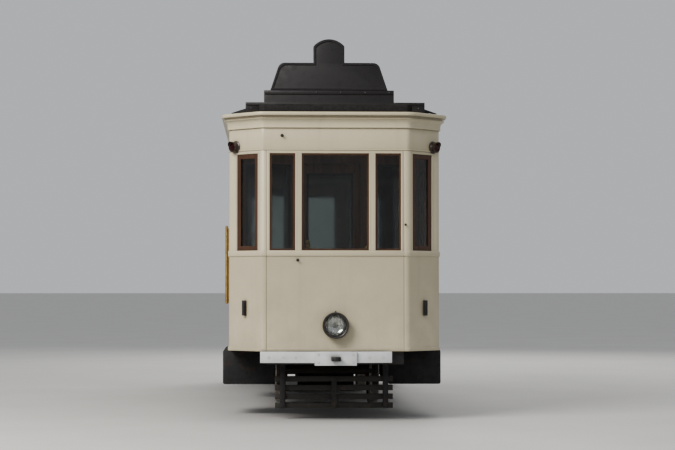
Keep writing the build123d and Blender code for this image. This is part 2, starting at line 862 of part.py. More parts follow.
def trolley(roof_outer):
    table_z = plank_z + table_foot
    plank = block((-plank_half_width, plank_half_width), (-plank_half_length, plank_half_length),
                  (roof_z + roof_edge, plank_z)) - roof_outer
    plank += Pos(0, 0, plank_z) * post(table_radius, table_foot)
    plank += Pos(0, 0, plank_z) * post(spigot_radius, table_foot + table_thick + spigot_proud)
    save("trolley_plank", plank)
    rest = block((-rest_width / 2, rest_width / 2), (rest_y - rest_width / 2, rest_y + rest_width / 2),
                 (roof_z, pivot_z - pole_radius(rest_y) - rest_gap)) - roof_outer
    save("pole_rests", *front_and_rear(rest))

    low = table_z + seat_gap
    foot_z = low + table_thick - 1
    table = Pos(0, 0, low) * post(table_radius, table_thick)
    table -= Pos(0, 0, low - 1) * post(spigot_radius + seat_gap, 2 * table_thick)
    cheek_inner = cheek_x - cheek_thick / 2
    cheek_outer = cheek_x + cheek_thick / 2
    cheek = block((cheek_inner, cheek_outer), (-cheek_half, cheek_half), (foot_z, pivot_z + cheek_rise))
    cheek = fillet(cheek.edges().filter_by(Axis.X).group_by(Axis.Z)[-1], cheek_corner)
    spring = Pos(cheek_x + spring_side, -spring_back, pivot_z - spring_drop) * Rot(90, 0, 0) * Cylinder(
        spring_barrel, tension_spring)
    arm = block((cheek_inner, cheek_x + stand_arm_reach), (-stand_arm_half, stand_arm_half),
                (foot_z, pivot_z - stand_arm_drop))
    side = cheek + spring + arm
    table += side + mirror(side, about=Plane.YZ)
    table += Pos(0, 0, pivot_z) * Rot(0, 90, 0) * Cylinder(pivot_radius, 2 * (cheek_outer + pivot_end))
    save("trolley_base", table)

    tube = None
    start = 0
    for radius, length in pole_steps:
        step = Pos(0, start, pivot_z) * Rot(-90, 0, 0) * post(radius, length)
        tube = step if tube is None else tube + step
        start += length
    hub = Pos(0, 0, pivot_z) * Rot(0, 90, 0) * Cylinder(pole_hub, 2 * (cheek_inner - hub_gap))
    head = Pos(0, pole_length, pivot_z + head_rise) * Rot(0, 90, 0) * Cylinder(head_radius, head_width)
    pole = tube + hub + head
    pole -= Pos(0, 0, pivot_z) * Rot(0, 90, 0) * Cylinder(pivot_radius + seat_gap, 3 * cheek_x)
    save("trolley_pole", pole)


# Radius of the pole at a distance from its pivot
def pole_radius(y):
    start = 0
    for radius, length in pole_steps:
        start += length
        if y < start:
            return radius
    return pole_steps[-1][0]


# Bench along each side: a dished seat with a rolled front, a raked back and its legs
def benches():
    seat_z = saloon_floor_z + seat_top
    front = inner_x - seat_depth
    section = make_face(Polyline(
        (front, seat_z - seat_roll), (front + seat_roll_depth, seat_z),
        (inner_x - seat_back_foot, seat_z - seat_dip),
        (inner_x - seat_back_thick, seat_z + seat_back_height), (inner_x, seat_z + seat_back_height),
        (inner_x, seat_z - seat_thick - seat_dip), (front, seat_z - seat_thick - seat_roll), close=True))
    bench = extrude(Plane.XZ * section, amount=bench_half, both=True)
    for i in range(leg_count):
        y = (i / (leg_count - 1) - 0.5) * (2 * bench_half - leg_thick)
        bench += block((front + leg_setback, inner_x), (y - leg_thick / 2, y + leg_thick / 2),
                       (saloon_floor_z, seat_z - seat_thick))
    save("benches", *left_and_right(bench))


def strap_rails(ceiling):
    rail = Pos(rail_x, 0, rail_z) * Rot(90, 0, 0) * Cylinder(rail_radius, 2 * bench_half)
    far = bench_half - rail_hanger_gap
    half = rail_hanger / 2
    for y in (-far, 0, far):
        rail += block((rail_x - half, rail_x + half), (y - half, y + half),
                      (rail_z, rail_z + hanger_length))
    limit = ceiling + block((-inner_x, inner_x), (-inner_y, inner_y), (0, roof_z))
    save("strap_rails", *left_and_right(rail & limit))


def drivers_gear():
    lever_z = platform_floor_z + controller_height
    place = Pos(controller_x, controller_y, 0)
    case = place * Pos(0, 0, platform_floor_z) * post(controller_radius, controller_height)
    case += block((controller_x - controller_radius, controller_x + controller_radius),
                  (controller_y, inner_y), (platform_floor_z, lever_z - controller_back_drop))
    case += place * Pos(0, 0, lever_z) * post(spindle_radius, spindle_height)
    case += block((controller_x - lever_width / 2, controller_x + lever_width / 2),
                  (controller_y - lever_reach, controller_y),
                  (lever_z + spindle_height - lever_thick, lever_z + spindle_height))
    save("controllers", *turned_ends(case))

    crank_z = platform_floor_z + column_height
    grip_y = controller_y - crank_reach + crank_width / 2
    column = Pos(column_x, controller_y, platform_floor_z) * post(column_radius, column_height)
    column += block((column_x - crank_width / 2, column_x + crank_width / 2),
                    (controller_y - crank_reach, controller_y + crank_tail),
                    (crank_z - crank_thick, crank_z))
    column += Pos(column_x, grip_y, crank_z - 1) * post(crank_knob_radius, crank_knob)
    save("handbrakes", *turned_ends(column))


# Upright handrails on both sides of each doorway, on square standoffs
def handles():
    shapes = []
    x = half_width + handle_reach
    half = handle_foot / 2
    for y in (doorway_start - handle_rear_gap, doorway_end + handle_front_gap):
        bar = Pos(x, y, handle_low) * post(handle_radius, handle_high - handle_low)
        for z in (handle_low + handle_foot_gap, handle_high - handle_foot_gap):
            bar += block((half_width, x), (y - half, y + half), (z - half, z + half))
        shapes += four_corners(bar)
    save("door_handrails", *shapes)


def equipment():
    inner = spring_inner + spring_width + equipment_gap
    outer = inner_x - equipment_wall_gap
    case = block((inner, outer), (-equipment_half, equipment_half), (equipment_low, sole_z))
    along = (louvre_edge - equipment_half, equipment_half - louvre_edge)
    for i in range(louvre_count):
        z = equipment_low + louvre_edge + i * louvre_pitch
        case -= block((outer - louvre_depth, outer + 1), along, (z, z + louvre_height))
    save("resistor_boxes", *left_and_right(case))


def main():
    os.makedirs("parts", exist_ok=True)
    walls()
    glazing()
    outer, ceiling = roof()
    floors()
    cornice()
    bulkheads(ceiling)
    doors()
    underframe()
    truck_frame()
    axle_boxes()
    leaf_springs()
    wheelsets()
    motors()
    brakes()
    entrance_steps()
    lifeguards()
    bumpers()
    drawbars()
    lamps()
    headboards(outer)
    trolley(outer)
    benches()
    strap_rails(ceiling)
    drivers_gear()
    handles()
    equipment()


main()
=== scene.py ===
import json
import math
from itertools import product

import bmesh
import bpy
from mathutils import Matrix, Vector

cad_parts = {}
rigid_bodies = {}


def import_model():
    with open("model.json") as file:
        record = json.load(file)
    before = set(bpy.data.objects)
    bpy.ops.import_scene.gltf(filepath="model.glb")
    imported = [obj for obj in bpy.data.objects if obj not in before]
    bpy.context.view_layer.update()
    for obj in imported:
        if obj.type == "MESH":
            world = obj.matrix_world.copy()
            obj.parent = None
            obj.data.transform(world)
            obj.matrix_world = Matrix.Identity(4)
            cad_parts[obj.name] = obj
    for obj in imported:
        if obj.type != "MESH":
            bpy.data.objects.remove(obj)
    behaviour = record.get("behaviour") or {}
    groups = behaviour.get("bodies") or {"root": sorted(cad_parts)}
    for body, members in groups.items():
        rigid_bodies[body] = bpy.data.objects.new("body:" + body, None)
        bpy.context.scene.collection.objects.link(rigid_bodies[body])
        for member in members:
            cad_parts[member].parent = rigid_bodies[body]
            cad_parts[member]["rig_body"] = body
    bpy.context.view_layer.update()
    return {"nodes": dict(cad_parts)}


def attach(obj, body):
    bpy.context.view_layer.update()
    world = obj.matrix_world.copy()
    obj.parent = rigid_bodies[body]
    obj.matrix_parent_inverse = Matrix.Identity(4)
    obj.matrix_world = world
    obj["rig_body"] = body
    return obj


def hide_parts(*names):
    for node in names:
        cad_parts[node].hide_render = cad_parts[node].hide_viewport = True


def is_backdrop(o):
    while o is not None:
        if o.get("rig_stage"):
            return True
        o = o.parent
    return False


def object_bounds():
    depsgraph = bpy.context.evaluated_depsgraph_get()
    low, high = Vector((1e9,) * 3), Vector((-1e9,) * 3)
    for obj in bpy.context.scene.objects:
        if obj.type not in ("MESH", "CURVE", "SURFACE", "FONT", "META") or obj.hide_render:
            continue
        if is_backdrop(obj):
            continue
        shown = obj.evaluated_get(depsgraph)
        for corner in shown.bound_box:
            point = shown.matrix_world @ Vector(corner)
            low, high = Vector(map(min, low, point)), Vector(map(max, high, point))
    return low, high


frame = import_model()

# The car's main sizes in metres, as the solids have them
car = {
    "halfWidth": 1.05, "halfLength": 4.35, "cornerCut": 0.33, "bendRadius": 0.06, "corniceZ": 2.885,
    "bulkheadY": 2.6, "axleY": 1.4, "axleZ": 0.4, "platformZ": 0.74, "saloonZ": 0.88,
}


def fresh():
    return bmesh.new()


def at(x=0.0, y=0.0, z=0.0):
    return Matrix.Translation((x, y, z))


def quarter(axis, turns=1):
    return Matrix.Rotation(turns * math.pi / 2, 4, axis)


def about(middle, half):
    return middle - half, middle + half


def moved(bm, place):
    bmesh.ops.transform(bm, matrix=place, verts=bm.verts)
    return bm


def facedOut(bm):
    bmesh.ops.recalc_face_normals(bm, faces=bm.faces)
    return bm


def vertsOf(geometry):
    return [g for g in geometry if isinstance(g, bmesh.types.BMVert)]


def everything(bm):
    return bm.verts[:] + bm.edges[:] + bm.faces[:]


def eased(bm, geometry, offset, steps=2, affect="EDGES", clamp=False):
    bmesh.ops.bevel(bm, geom=geometry, offset=offset, offset_type="OFFSET", segments=steps, profile=0.5,
                    affect=affect, clamp_overlap=clamp, material=-1)
    return bm


# Adds one small mesh to a bigger one, turned and placed on the way
def drop(target, part, place=Matrix()):
    carrier = bpy.data.meshes.new("carrier")
    moved(part, place).to_mesh(carrier)
    part.free()
    target.from_mesh(carrier)
    bpy.data.meshes.remove(carrier)


def slab(x, y, z, rounding=0.003, steps=2):
    bm = fresh()
    bmesh.ops.create_cube(bm, size=1.0)
    bmesh.ops.scale(bm, vec=(x[1] - x[0], y[1] - y[0], z[1] - z[0]), verts=bm.verts)
    moved(bm, at(sum(x) / 2, sum(y) / 2, sum(z) / 2))
    return eased(bm, bm.edges[:], rounding, steps)


# Spins verts and edges round Z, once and joined up, or in a rising coil
def spun(bm, geometry, steps, turns=1, rise=0.0):
    bmesh.ops.spin(bm, geom=geometry, cent=(0, 0, 0), axis=(0, 0, 1), dvec=(0, 0, rise / steps),
                   angle=math.tau * turns, steps=steps, use_merge=not rise, use_duplicate=False)
    bmesh.ops.remove_doubles(bm, verts=bm.verts, dist=1e-6)
    return facedOut(bm)


# Turned part: a profile of (radius, height) pairs spun round Z
def turned(profile, sides=32):
    bm = fresh()
    points = [bm.verts.new((radius, 0, z)) for radius, z in profile]
    edges = [bm.edges.new(pair) for pair in zip(points, points[1:])]
    return spun(bm, points + edges, sides)


# A wire's circle spun round Z at a distance: a ring, or a coil with closed ends
def coiled(distance, wire, sides, steps, turns=1, rise=0.0):
    bm = fresh()
    circle = bmesh.ops.create_circle(bm, cap_ends=False, radius=wire, segments=sides)["verts"]
    bmesh.ops.transform(bm, matrix=at(distance) @ quarter("X"), verts=circle)
    spun(bm, bm.verts[:] + bm.edges[:], steps, turns, rise)
    bmesh.ops.holes_fill(bm, edges=[e for e in bm.edges if len(e.link_faces) == 1], sides=sides)
    return facedOut(bm)


def aim(start, end):
    turn = (Vector(end) - Vector(start)).to_track_quat("Z", "Y").to_matrix().to_4x4()
    return at(*start) @ turn


def rod(start, end, radius, sides=16, rounding=0.0015):
    length = (Vector(end) - Vector(start)).length
    soft = min(rounding, radius * 0.4)
    profile = [(0, 0), (radius - soft, 0), (radius, soft), (radius, length - soft),
               (radius - soft, length), (0, length)]
    return moved(turned(profile, sides), aim(start, end))


# Outline in XZ as one flat face
def flat(points):
    bm = fresh()
    bm.faces.new([bm.verts.new((x, 0, z)) for x, z in points])
    return bm


# Gives flat faces a thickness along +Y
def thickened(bm, thick):
    top = bmesh.ops.extrude_face_region(bm, geom=bm.faces[:])["geom"]
    bmesh.ops.translate(bm, vec=(0, thick, 0), verts=vertsOf(top))
    return facedOut(bm)


# Flat outline given a thickness; its corners may be rounded first, and its edges at the end
def plate(points, thick, corner=0.0, rounding=0.0):
    bm = flat(points)
    if corner:
        eased(bm, bm.verts[:], corner, 3, "VERTICES")
    thickened(bm, thick)
    if rounding:
        eased(bm, [e for e in bm.edges if e.calc_face_angle(0) > 0.7], rounding)
    return bm


# A skin between rings of points, each joined to the next: closed on itself, or capped at both ends
def loft(rings, closed=False):
    bm = fresh()
    loops = [[bm.verts.new(point) for point in ring] for ring in rings]
    for ring, after in zip(loops, loops[1:] + loops[:1] if closed else loops[1:]):
        for corners in zip(ring, ring[1:] + ring[:1], after[1:] + after[:1], after):
            bm.faces.new(corners)
    if not closed:
        bm.faces.new(loops[0][::-1])
        bm.faces.new(loops[-1])
    return facedOut(bm)


# Window sash or bead: a rectangle of bars in XZ about the origin, its inner edges eased
def sash(width, height, bar, thick, ease=0.003):
    rings = []
    for inset, y in ((0, -thick / 2), (0, thick / 2), (bar, thick / 2), (bar, -thick / 2)):
        x, z = width / 2 - inset, height / 2 - inset
        rings.append([(-x, y, -z), (x, y, -z), (x, y, z), (-x, y, z)])
    bm = loft(rings, True)
    inner = [e for e in bm.edges if all(abs(v.co.x) < width / 2 - bar / 2 for v in e.verts)
             and e.verts[0].co.y * e.verts[1].co.y > 0]
    return eased(bm, inner, ease)


def mirrored(bm, axes):
    for axis in axes:
        bmesh.ops.mirror(bm, geom=everything(bm), matrix=Matrix(), merge_dist=1e-7, axis=axis)
    return facedOut(bm)


# What is set to one side of the car is turned half round from one end to the other
def halfTurned(bm):
    copy = bmesh.ops.duplicate(bm, geom=everything(bm))["geom"]
    bmesh.ops.transform(bm, matrix=quarter("Z", 2), verts=vertsOf(copy))
    return bm


def finishPiece(name, bm, material, replaced=(), body="car_body", smoothAngle=38):
    mesh = bpy.data.meshes.new(name)
    bm.to_mesh(mesh)
    bm.free()
    mesh.materials.append(material)
    mesh.polygons.foreach_set("use_smooth", [True] * len(mesh.polygons))
    mesh.set_sharp_from_angle(angle=math.radians(smoothAngle))
    piece = bpy.data.objects.new(name, mesh)
    bpy.context.scene.collection.objects.link(piece)
    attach(piece, body)
    if replaced:
        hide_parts(*replaced)


# Places on the body's skin at the rear right quarter: X along the wall, Y outwards
def onEnd(along, z=0.0):
    return at(along, car["halfLength"], z)


def onCorner(along, z=0.0):
    start = at(car["halfWidth"] - car["cornerCut"], car["halfLength"], z)
    return start @ Matrix.Rotation(-math.pi / 4, 4, "Z") @ at(along)


def onSide(y, z=0.0):
    return at(car["halfWidth"], y, z) @ quarter("Z", -1)


# Points a turned part out of the wall that it is placed on
pointOut = quarter("X", -1)


# Finishes

def shade(colour, factor):
    return tuple(c * factor for c in colour)


class Finish:
    # One surface's node tree, with Object coordinates as its only source of place

    def __init__(self, name, roughness=0.5, metallic=0.0):
        self.material = bpy.data.materials.new(name)
        self.material.use_nodes = True
        self.nodes = self.material.node_tree.nodes
        self.links = self.material.node_tree.links
        self.shader = self.nodes["Principled BSDF"]
        self.put(self.shader, {"Roughness": roughness, "Metallic": metallic})
        self.place = self.nodes.new("ShaderNodeTexCoord").outputs["Object"]

    # Sets a node's inputs to numbers or colours, or links them
    def put(self, node, values):
        for key, value in values.items():
            if isinstance(value, bpy.types.NodeSocket):
                self.links.new(value, node.inputs[key])
            elif node.inputs[key].type == "RGBA":
                node.inputs[key].default_value = (*value, 1.0)
            else:
                node.inputs[key].default_value = value

    def node(self, kind, values):
        node = self.nodes.new("ShaderNode" + kind)
        self.put(node, values)
        return node

    def mapped(self, scale, location=(0, 0, 0)):
        node = self.node("Mapping", {"Scale": scale, "Location": location, "Vector": self.place})
        return node.outputs["Vector"]

    def noise(self, scale, detail=4.0, rough=0.55, stretch=(1, 1, 1), distortion=0.0):
        node = self.node("TexNoise", {"Scale": scale, "Detail": detail, "Roughness": rough,
                                      "Distortion": distortion, "Vector": self.mapped(stretch)})
        return node.outputs["Fac"]

    def spread(self, value, low, high, newLow=0.0, newHigh=1.0):
        node = self.node("MapRange", {"Value": value, "From Min": low, "From Max": high,
                                      "To Min": newLow, "To Max": newHigh})
        return node.outputs["Result"]

    def math(self, operation, a, b):
        node = self.node("Math", {0: a, 1: b})
        node.operation = operation
        return node.outputs["Value"]

    # The Mix node has its factor first, and its two colours and their result further on
    def mix(self, factor, a, b):
        node = self.nodes.new("ShaderNodeMix")
        node.data_type = "RGBA"
        self.put(node, {0: factor, 6: a, 7: b})
        return node.outputs[2]

    # A second colour over a first in clouds of noise, up to a share of it
    def clouded(self, first, second, noise, low, high, share=1.0):
        return self.mix(self.spread(self.noise(*noise), low, high, 0.0, share), first, second)

    def axis(self, letter):
        return self.node("SeparateXYZ", {"Vector": self.place}).outputs[letter]

    def facingUp(self):
        normal = self.nodes.new("ShaderNodeNewGeometry").outputs["Normal"]
        return self.node("SeparateXYZ", {"Vector": normal}).outputs["Z"]

    # Painted shade: mixes a darker colour in where ambient occlusion finds corners, creases and recesses
    def paintedCornerShade(self, colour, dark, distance, share):
        node = self.node("AmbientOcclusion", {"Distance": distance})
        node.samples = 6
        corners = self.spread(node.outputs["AO"], 0.35, 0.95, 1.0, 0.0)
        return self.mix(self.math("MULTIPLY", corners, share), colour, dark)

    # 1 where a wall's own depth from the car's skin is more than depth, 0 on its painted side
    def lining(self, depth):
        side = self.math("SUBTRACT", self.math("ABSOLUTE", self.axis("X"), 0), car["halfWidth"])
        end = self.math("SUBTRACT", self.math("ABSOLUTE", self.axis("Y"), 0), car["halfLength"])
        corner = self.math("ADD", self.math("ADD", side, end), car["cornerCut"])
        corner = self.math("MULTIPLY", corner, math.sqrt(0.5))
        out = self.math("MAXIMUM", self.math("MAXIMUM", side, end), corner)
        return self.math("LESS_THAN", out, -depth)

    def colour(self, value):
        self.put(self.shader, {"Base Color": value})

    def rough(self, value, newLow, newHigh, low=0.3, high=0.7):
        self.put(self.shader, {"Roughness": self.spread(value, low, high, newLow, newHigh)})

    def coat(self, weight, roughness):
        self.put(self.shader, {"Coat Weight": weight, "Coat Roughness": roughness})

    def bump(self, height, strength, distance):
        node = self.node("Bump", {"Height": height, "Strength": strength, "Distance": distance})
        self.put(self.shader, {"Normal": node.outputs["Normal"]})


# Gloss paint on sheet steel and wood: brush marks, dust low down, streaks, and grime with painted shade in
# the corners;
# what lies deeper than lined in a wall is varnished wood
def coachPaint(name, upper, dirt, roughness=0.38, dirtReach=1.2, streaks=0.15, lower=None, lined=0.0,
               cornerGrimeAndShade=0.5):
    finish = Finish(name, roughness)
    lower = lower or upper
    height = finish.axis("Z")
    colour = finish.mix(finish.spread(height, 1.6, 1.7), lower, upper)
    colour = finish.clouded(colour, shade(lower, 0.86), (1.7, 3.0), 0.35, 0.7, 0.35)
    colour = finish.clouded(colour, dirt, (9.0, 4.0, 0.6, (1, 1, 0.06)), 0.55, 0.85, streaks)
    low = finish.spread(height, 0.66, 0.66 + dirtReach, 0.28, 0.0)
    low = finish.math("MULTIPLY", low, finish.spread(finish.noise(4.0, 6.0, 0.65), 0.3, 0.7))
    # Grime colour laid in as painted shade where the corners and creases are
    colour = finish.paintedCornerShade(finish.mix(low, colour, dirt), dirt, 0.05, cornerGrimeAndShade)
    if lined:
        wood = finish.clouded(linedWood[1], linedWood[0], (9.0, 6.0, 0.6, (1, 1, 0.06), 1.6), 0.32, 0.68)
        colour = finish.mix(finish.lining(lined), colour, wood)
    finish.colour(colour)
    finish.rough(finish.noise(14.0, 5.0), roughness - 0.08, roughness + 0.16)
    fine = finish.math("ADD", finish.math("MULTIPLY", finish.noise(2.2, 2.0), 0.9),
                       finish.math("MULTIPLY", finish.noise(160.0, 2.0, 0.5, (1, 1, 0.2)), 0.1))
    finish.bump(fine, 0.35, 0.004)
    finish.coat(0.25, 0.18)
    return finish.material


# Cast or rolled iron under old black paint, with dust on what faces up and rust in patches
def ironPaint(name, base, dust, rust, roughness=0.6, rustShare=0.25):
    finish = Finish(name, roughness)
    colour = finish.clouded(base, shade(base, 1.7), (6.0, 5.0), 0.3, 0.7)
    colour = finish.clouded(colour, rust, (11.0, 8.0, 0.7), 0.56, 0.68, rustShare)
    up = finish.spread(finish.facingUp(), 0.3, 0.95, 0.0, 0.55)
    up = finish.math("MULTIPLY", up, finish.spread(finish.noise(8.0, 4.0), 0.25, 0.65))
    # Dust on what faces up, and dust colour laid in as painted shade in the corners
    finish.colour(finish.paintedCornerShade(finish.mix(up, colour, dust), dust, 0.04, 0.35))
    finish.rough(finish.noise(20.0, 4.0), roughness - 0.12, roughness + 0.15)
    finish.bump(finish.noise(70.0, 6.0, 0.65), 0.5, 0.0015)
    return finish.material


# Varnished boards: growth rings stretched along one axis, pores, and a clear coat; under colours
# what faces down
def varnishedWood(name, light, dark, along, roughness=0.32, coat=0.4, ringScale=9.0, under=None):
    finish = Finish(name, roughness)
    stretch = {"X": (0.06, 1, 1), "Y": (1, 0.06, 1), "Z": (1, 1, 0.06)}[along]
    colour = finish.clouded(dark, light, (ringScale, 6.0, 0.6, stretch, 1.6), 0.32, 0.68)
    pores = finish.noise(ringScale * 22, 3.0, 0.7, tuple(s * s for s in stretch))
    colour = finish.mix(finish.spread(pores, 0.52, 0.72, 0.0, 0.5), colour, shade(dark, 0.45))
    # Painted shade: darker wood colour in the corners and creases
    colour = finish.paintedCornerShade(colour, shade(dark, 0.3), 0.03, 0.5)
    if under:
        colour = finish.mix(finish.spread(finish.facingUp(), -0.9, -0.5, 1.0, 0.0), colour, under)
    finish.colour(colour)
    finish.rough(finish.noise(25.0, 4.0), roughness - 0.1, roughness + 0.15)
    finish.bump(pores, 0.25, 0.0008)
    finish.coat(coat, 0.12)
    return finish.material


# Matt paint or stain on boards that run along X, scuffed in patches
def paintedWood(name, base, dust, roughness=0.65):
    finish = Finish(name, roughness)
    grain = finish.noise(40.0, 5.0, 0.65, (0.05, 1, 1))
    colour = finish.mix(finish.spread(grain, 0.35, 0.7), base, shade(base, 1.6))
    finish.colour(finish.clouded(colour, dust, (7.0, 8.0, 0.75), 0.58, 0.7, 0.5))
    finish.rough(grain, roughness - 0.1, roughness + 0.2)
    finish.bump(grain, 0.5, 0.0012)
    return finish.material


def wornMetal(name, base, dull, roughness, metallic=1.0, spots=0.4):
    finish = Finish(name, roughness, metallic)
    colour = finish.clouded(base, dull, (9.0, 7.0, 0.7), 0.45, 0.68, spots)
    # Painted shade: darker dull metal in the corners and creases
    finish.colour(finish.paintedCornerShade(colour, shade(dull, 0.35), 0.02, 0.6))
    finish.rough(finish.noise(38.0, 5.0), roughness - 0.08, roughness + 0.22)
    finish.bump(finish.noise(120.0, 3.0), 0.18, 0.0006)
    return finish.material


# Wheels: black paint and brake dust on the disc, the tyre's tread and flange rubbed bright
def wheelSteel(name, axleY):
    finish = Finish(name, 0.45)
    centre = finish.mapped((0, 1, 1), (0, -axleY, -car["axleZ"]))
    length = finish.node("VectorMath", {0: centre})
    length.operation = "LENGTH"
    disc = finish.clouded((0.045, 0.042, 0.04), (0.13, 0.085, 0.06), (14.0, 6.0, 0.7), 0.35, 0.7)
    bright = finish.spread(length.outputs["Value"], 0.3695, 0.3735)
    tread = finish.clouded((0.46, 0.44, 0.42), (0.3, 0.22, 0.17), (26.0, 5.0, 0.6), 0.4, 0.7)
    finish.colour(finish.mix(bright, disc, tread))
    finish.put(finish.shader, {"Metallic": bright})
    finish.rough(bright, 0.62, 0.3, 0.0, 1.0)
    finish.bump(finish.noise(90.0, 5.0), 0.35, 0.001)
    return finish.material


# Painted canvas on the roof, sooty in patches, with painted shade darkest where it hangs down
def roofCanvas(name):
    finish = Finish(name, 0.85)
    colour = finish.clouded((0.022, 0.022, 0.023), (0.05, 0.048, 0.045), (2.4, 6.0, 0.6), 0.3, 0.7)
    colour = finish.clouded(colour, (0.085, 0.077, 0.066), (17.0, 7.0, 0.7), 0.55, 0.75, 0.4)
    # Painted shade on faces that turn away from the sky
    hangingShade = finish.spread(finish.facingUp(), 0.3, 0.8, 0.75, 0.0)
    finish.colour(finish.mix(hangingShade, colour, (0.01, 0.009, 0.009)))
    finish.rough(finish.noise(30.0, 3.0), 0.7, 0.95)
    finish.bump(finish.noise(420.0, 2.0, 0.5), 0.5, 0.0008)
    return finish.material


def clearGlass(name, tint, roughness=0.02):
    finish = Finish(name, roughness)
    finish.colour(finish.clouded(tint, shade(tint, 0.92), (3.0, 4.0), 0.4, 0.7))
    finish.rough(finish.noise(9.0, 6.0, 0.7), roughness, roughness + 0.09, 0.35, 0.8)
    finish.put(finish.shader, {"Transmission Weight": 1.0, "IOR": 1.45})
    finish.bump(finish.noise(5.0, 1.0), 0.05, 0.002)
    return finish.material


ivory = (0.55, 0.495, 0.358)
beige = (0.545, 0.488, 0.355)
grime = (0.17, 0.14, 0.105)
linedWood = ((0.4, 0.17, 0.06), (0.2, 0.07, 0.025))
cream = coachPaint("creamCoachPaint", ivory, grime, lower=beige)
wallCream = coachPaint("creamWallPaint", ivory, grime, lower=beige, lined=0.024)
doorCream = coachPaint("creamDoorPaint", ivory, grime, lower=beige, lined=0.075)
# Screws get only a little of the painted corner shade
screwCream = coachPaint("creamScrewPaint", ivory, grime, lower=beige, cornerGrimeAndShade=0.1)
bumperGrey = coachPaint("bumperGrey", (0.68, 0.71, 0.71), (0.2, 0.18, 0.16), 0.42, 0.5)
boardEnamel = coachPaint("boardEnamel", (0.009, 0.007, 0.008), (0.045, 0.04, 0.036), 0.5, 0.1, 0.12)
lampEnamel = coachPaint("lampEnamel", (0.035, 0.022, 0.018), (0.12, 0.1, 0.08), 0.32, 0.1, 0.1,
                        (0.03, 0.028, 0.026))
controllerEnamel = coachPaint("controllerEnamel", (0.03, 0.03, 0.032), (0.14, 0.12, 0.1), 0.35, 0.3, 0.1)
ceilingPaint = coachPaint("ceilingPaint", (0.62, 0.58, 0.48), grime, 0.5, 0.1, 0.1)
blackIron = ironPaint("blackIron", (0.016, 0.016, 0.017), (0.16, 0.135, 0.105), (0.12, 0.055, 0.028))
gearIron = ironPaint("gearIron", (0.04, 0.037, 0.034), (0.2, 0.165, 0.125), (0.15, 0.07, 0.035),
                     0.65, 0.3)
motorIron = ironPaint("motorIron", (0.03, 0.028, 0.026), (0.17, 0.14, 0.11), (0.13, 0.06, 0.03), 0.7, 0.4)
springSteel = ironPaint("springSteel", (0.045, 0.038, 0.033), (0.17, 0.135, 0.1), (0.16, 0.075, 0.038),
                        0.5, 0.5)
treadSteel = ironPaint("treadSteel", (0.05, 0.048, 0.046), (0.22, 0.19, 0.15), (0.16, 0.09, 0.05),
                       0.5, 0.3)
benchWood = varnishedWood("benchWood", (0.5, 0.235, 0.085), (0.27, 0.105, 0.035), "Y")
innerWood = varnishedWood("innerWood", *linedWood, "Z")
sashWood = varnishedWood("sashWood", (0.09, 0.038, 0.015), (0.045, 0.018, 0.008), "Z", 0.4, 0.25, 14.0)
floorWood = varnishedWood("floorWood", (0.27, 0.2, 0.13), (0.14, 0.1, 0.065), "Y", 0.6, 0.0, 7.0,
                          (0.035, 0.03, 0.026))
ceilingWood = varnishedWood("ceilingWood", (0.33, 0.16, 0.07), (0.2, 0.085, 0.035), "Y", 0.4, 0.2, 12.0)
duckWood = varnishedWood("duckWood", (0.24, 0.18, 0.12), (0.12, 0.09, 0.06), "X", 0.65, 0.0, 8.0)
leather = paintedWood("leather", (0.055, 0.028, 0.014), (0.14, 0.09, 0.05), 0.55)
guardWood = paintedWood("guardWood", (0.03, 0.027, 0.024), (0.16, 0.12, 0.085))
brassMetal = wornMetal("brassMetal", (0.48, 0.345, 0.16), (0.24, 0.165, 0.085), 0.34)
chromeMetal = wornMetal("chromeMetal", (0.72, 0.72, 0.72), (0.4, 0.38, 0.36), 0.14)
poleSteel = wornMetal("poleSteel", (0.2, 0.2, 0.21), (0.16, 0.11, 0.08), 0.45, 0.6)
opalGlass = wornMetal("opalGlass", (0.8, 0.78, 0.72), (0.55, 0.52, 0.46), 0.25, 0.0, 0.15)
wheelFront = wheelSteel("wheelSteelFront", -car["axleY"])
wheelRear = wheelSteel("wheelSteelRear", car["axleY"])
roofPaint = roofCanvas("roofCanvas")
windowGlass = clearGlass("windowGlass", (0.62, 0.65, 0.64))
lensGlass = clearGlass("lensGlass", (0.93, 0.94, 0.92), 0.04)
redLens = clearGlass("redLens", (0.45, 0.03, 0.02), 0.06)
print("finishes made")


# A CAD node's own shape with its flat faces joined and its edges rounded, standing for the node
def dressNode(node, material, rounding):
    source = frame["nodes"][node]
    bm = fresh()
    bm.from_mesh(source.data)
    bmesh.ops.remove_doubles(bm, verts=bm.verts, dist=2e-5)
    bmesh.ops.dissolve_limit(bm, angle_limit=math.radians(0.8), verts=bm.verts, edges=bm.edges,
                             use_dissolve_boundaries=False, delimit=set())
    if rounding:
        sharp = [e for e in bm.edges if len(e.link_faces) == 2 and e.calc_face_angle(0) > math.radians(30)]
        eased(bm, sharp, rounding, clamp=True)
    finishPiece(node + "_dressed", bm, material, (node,), source["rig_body"])


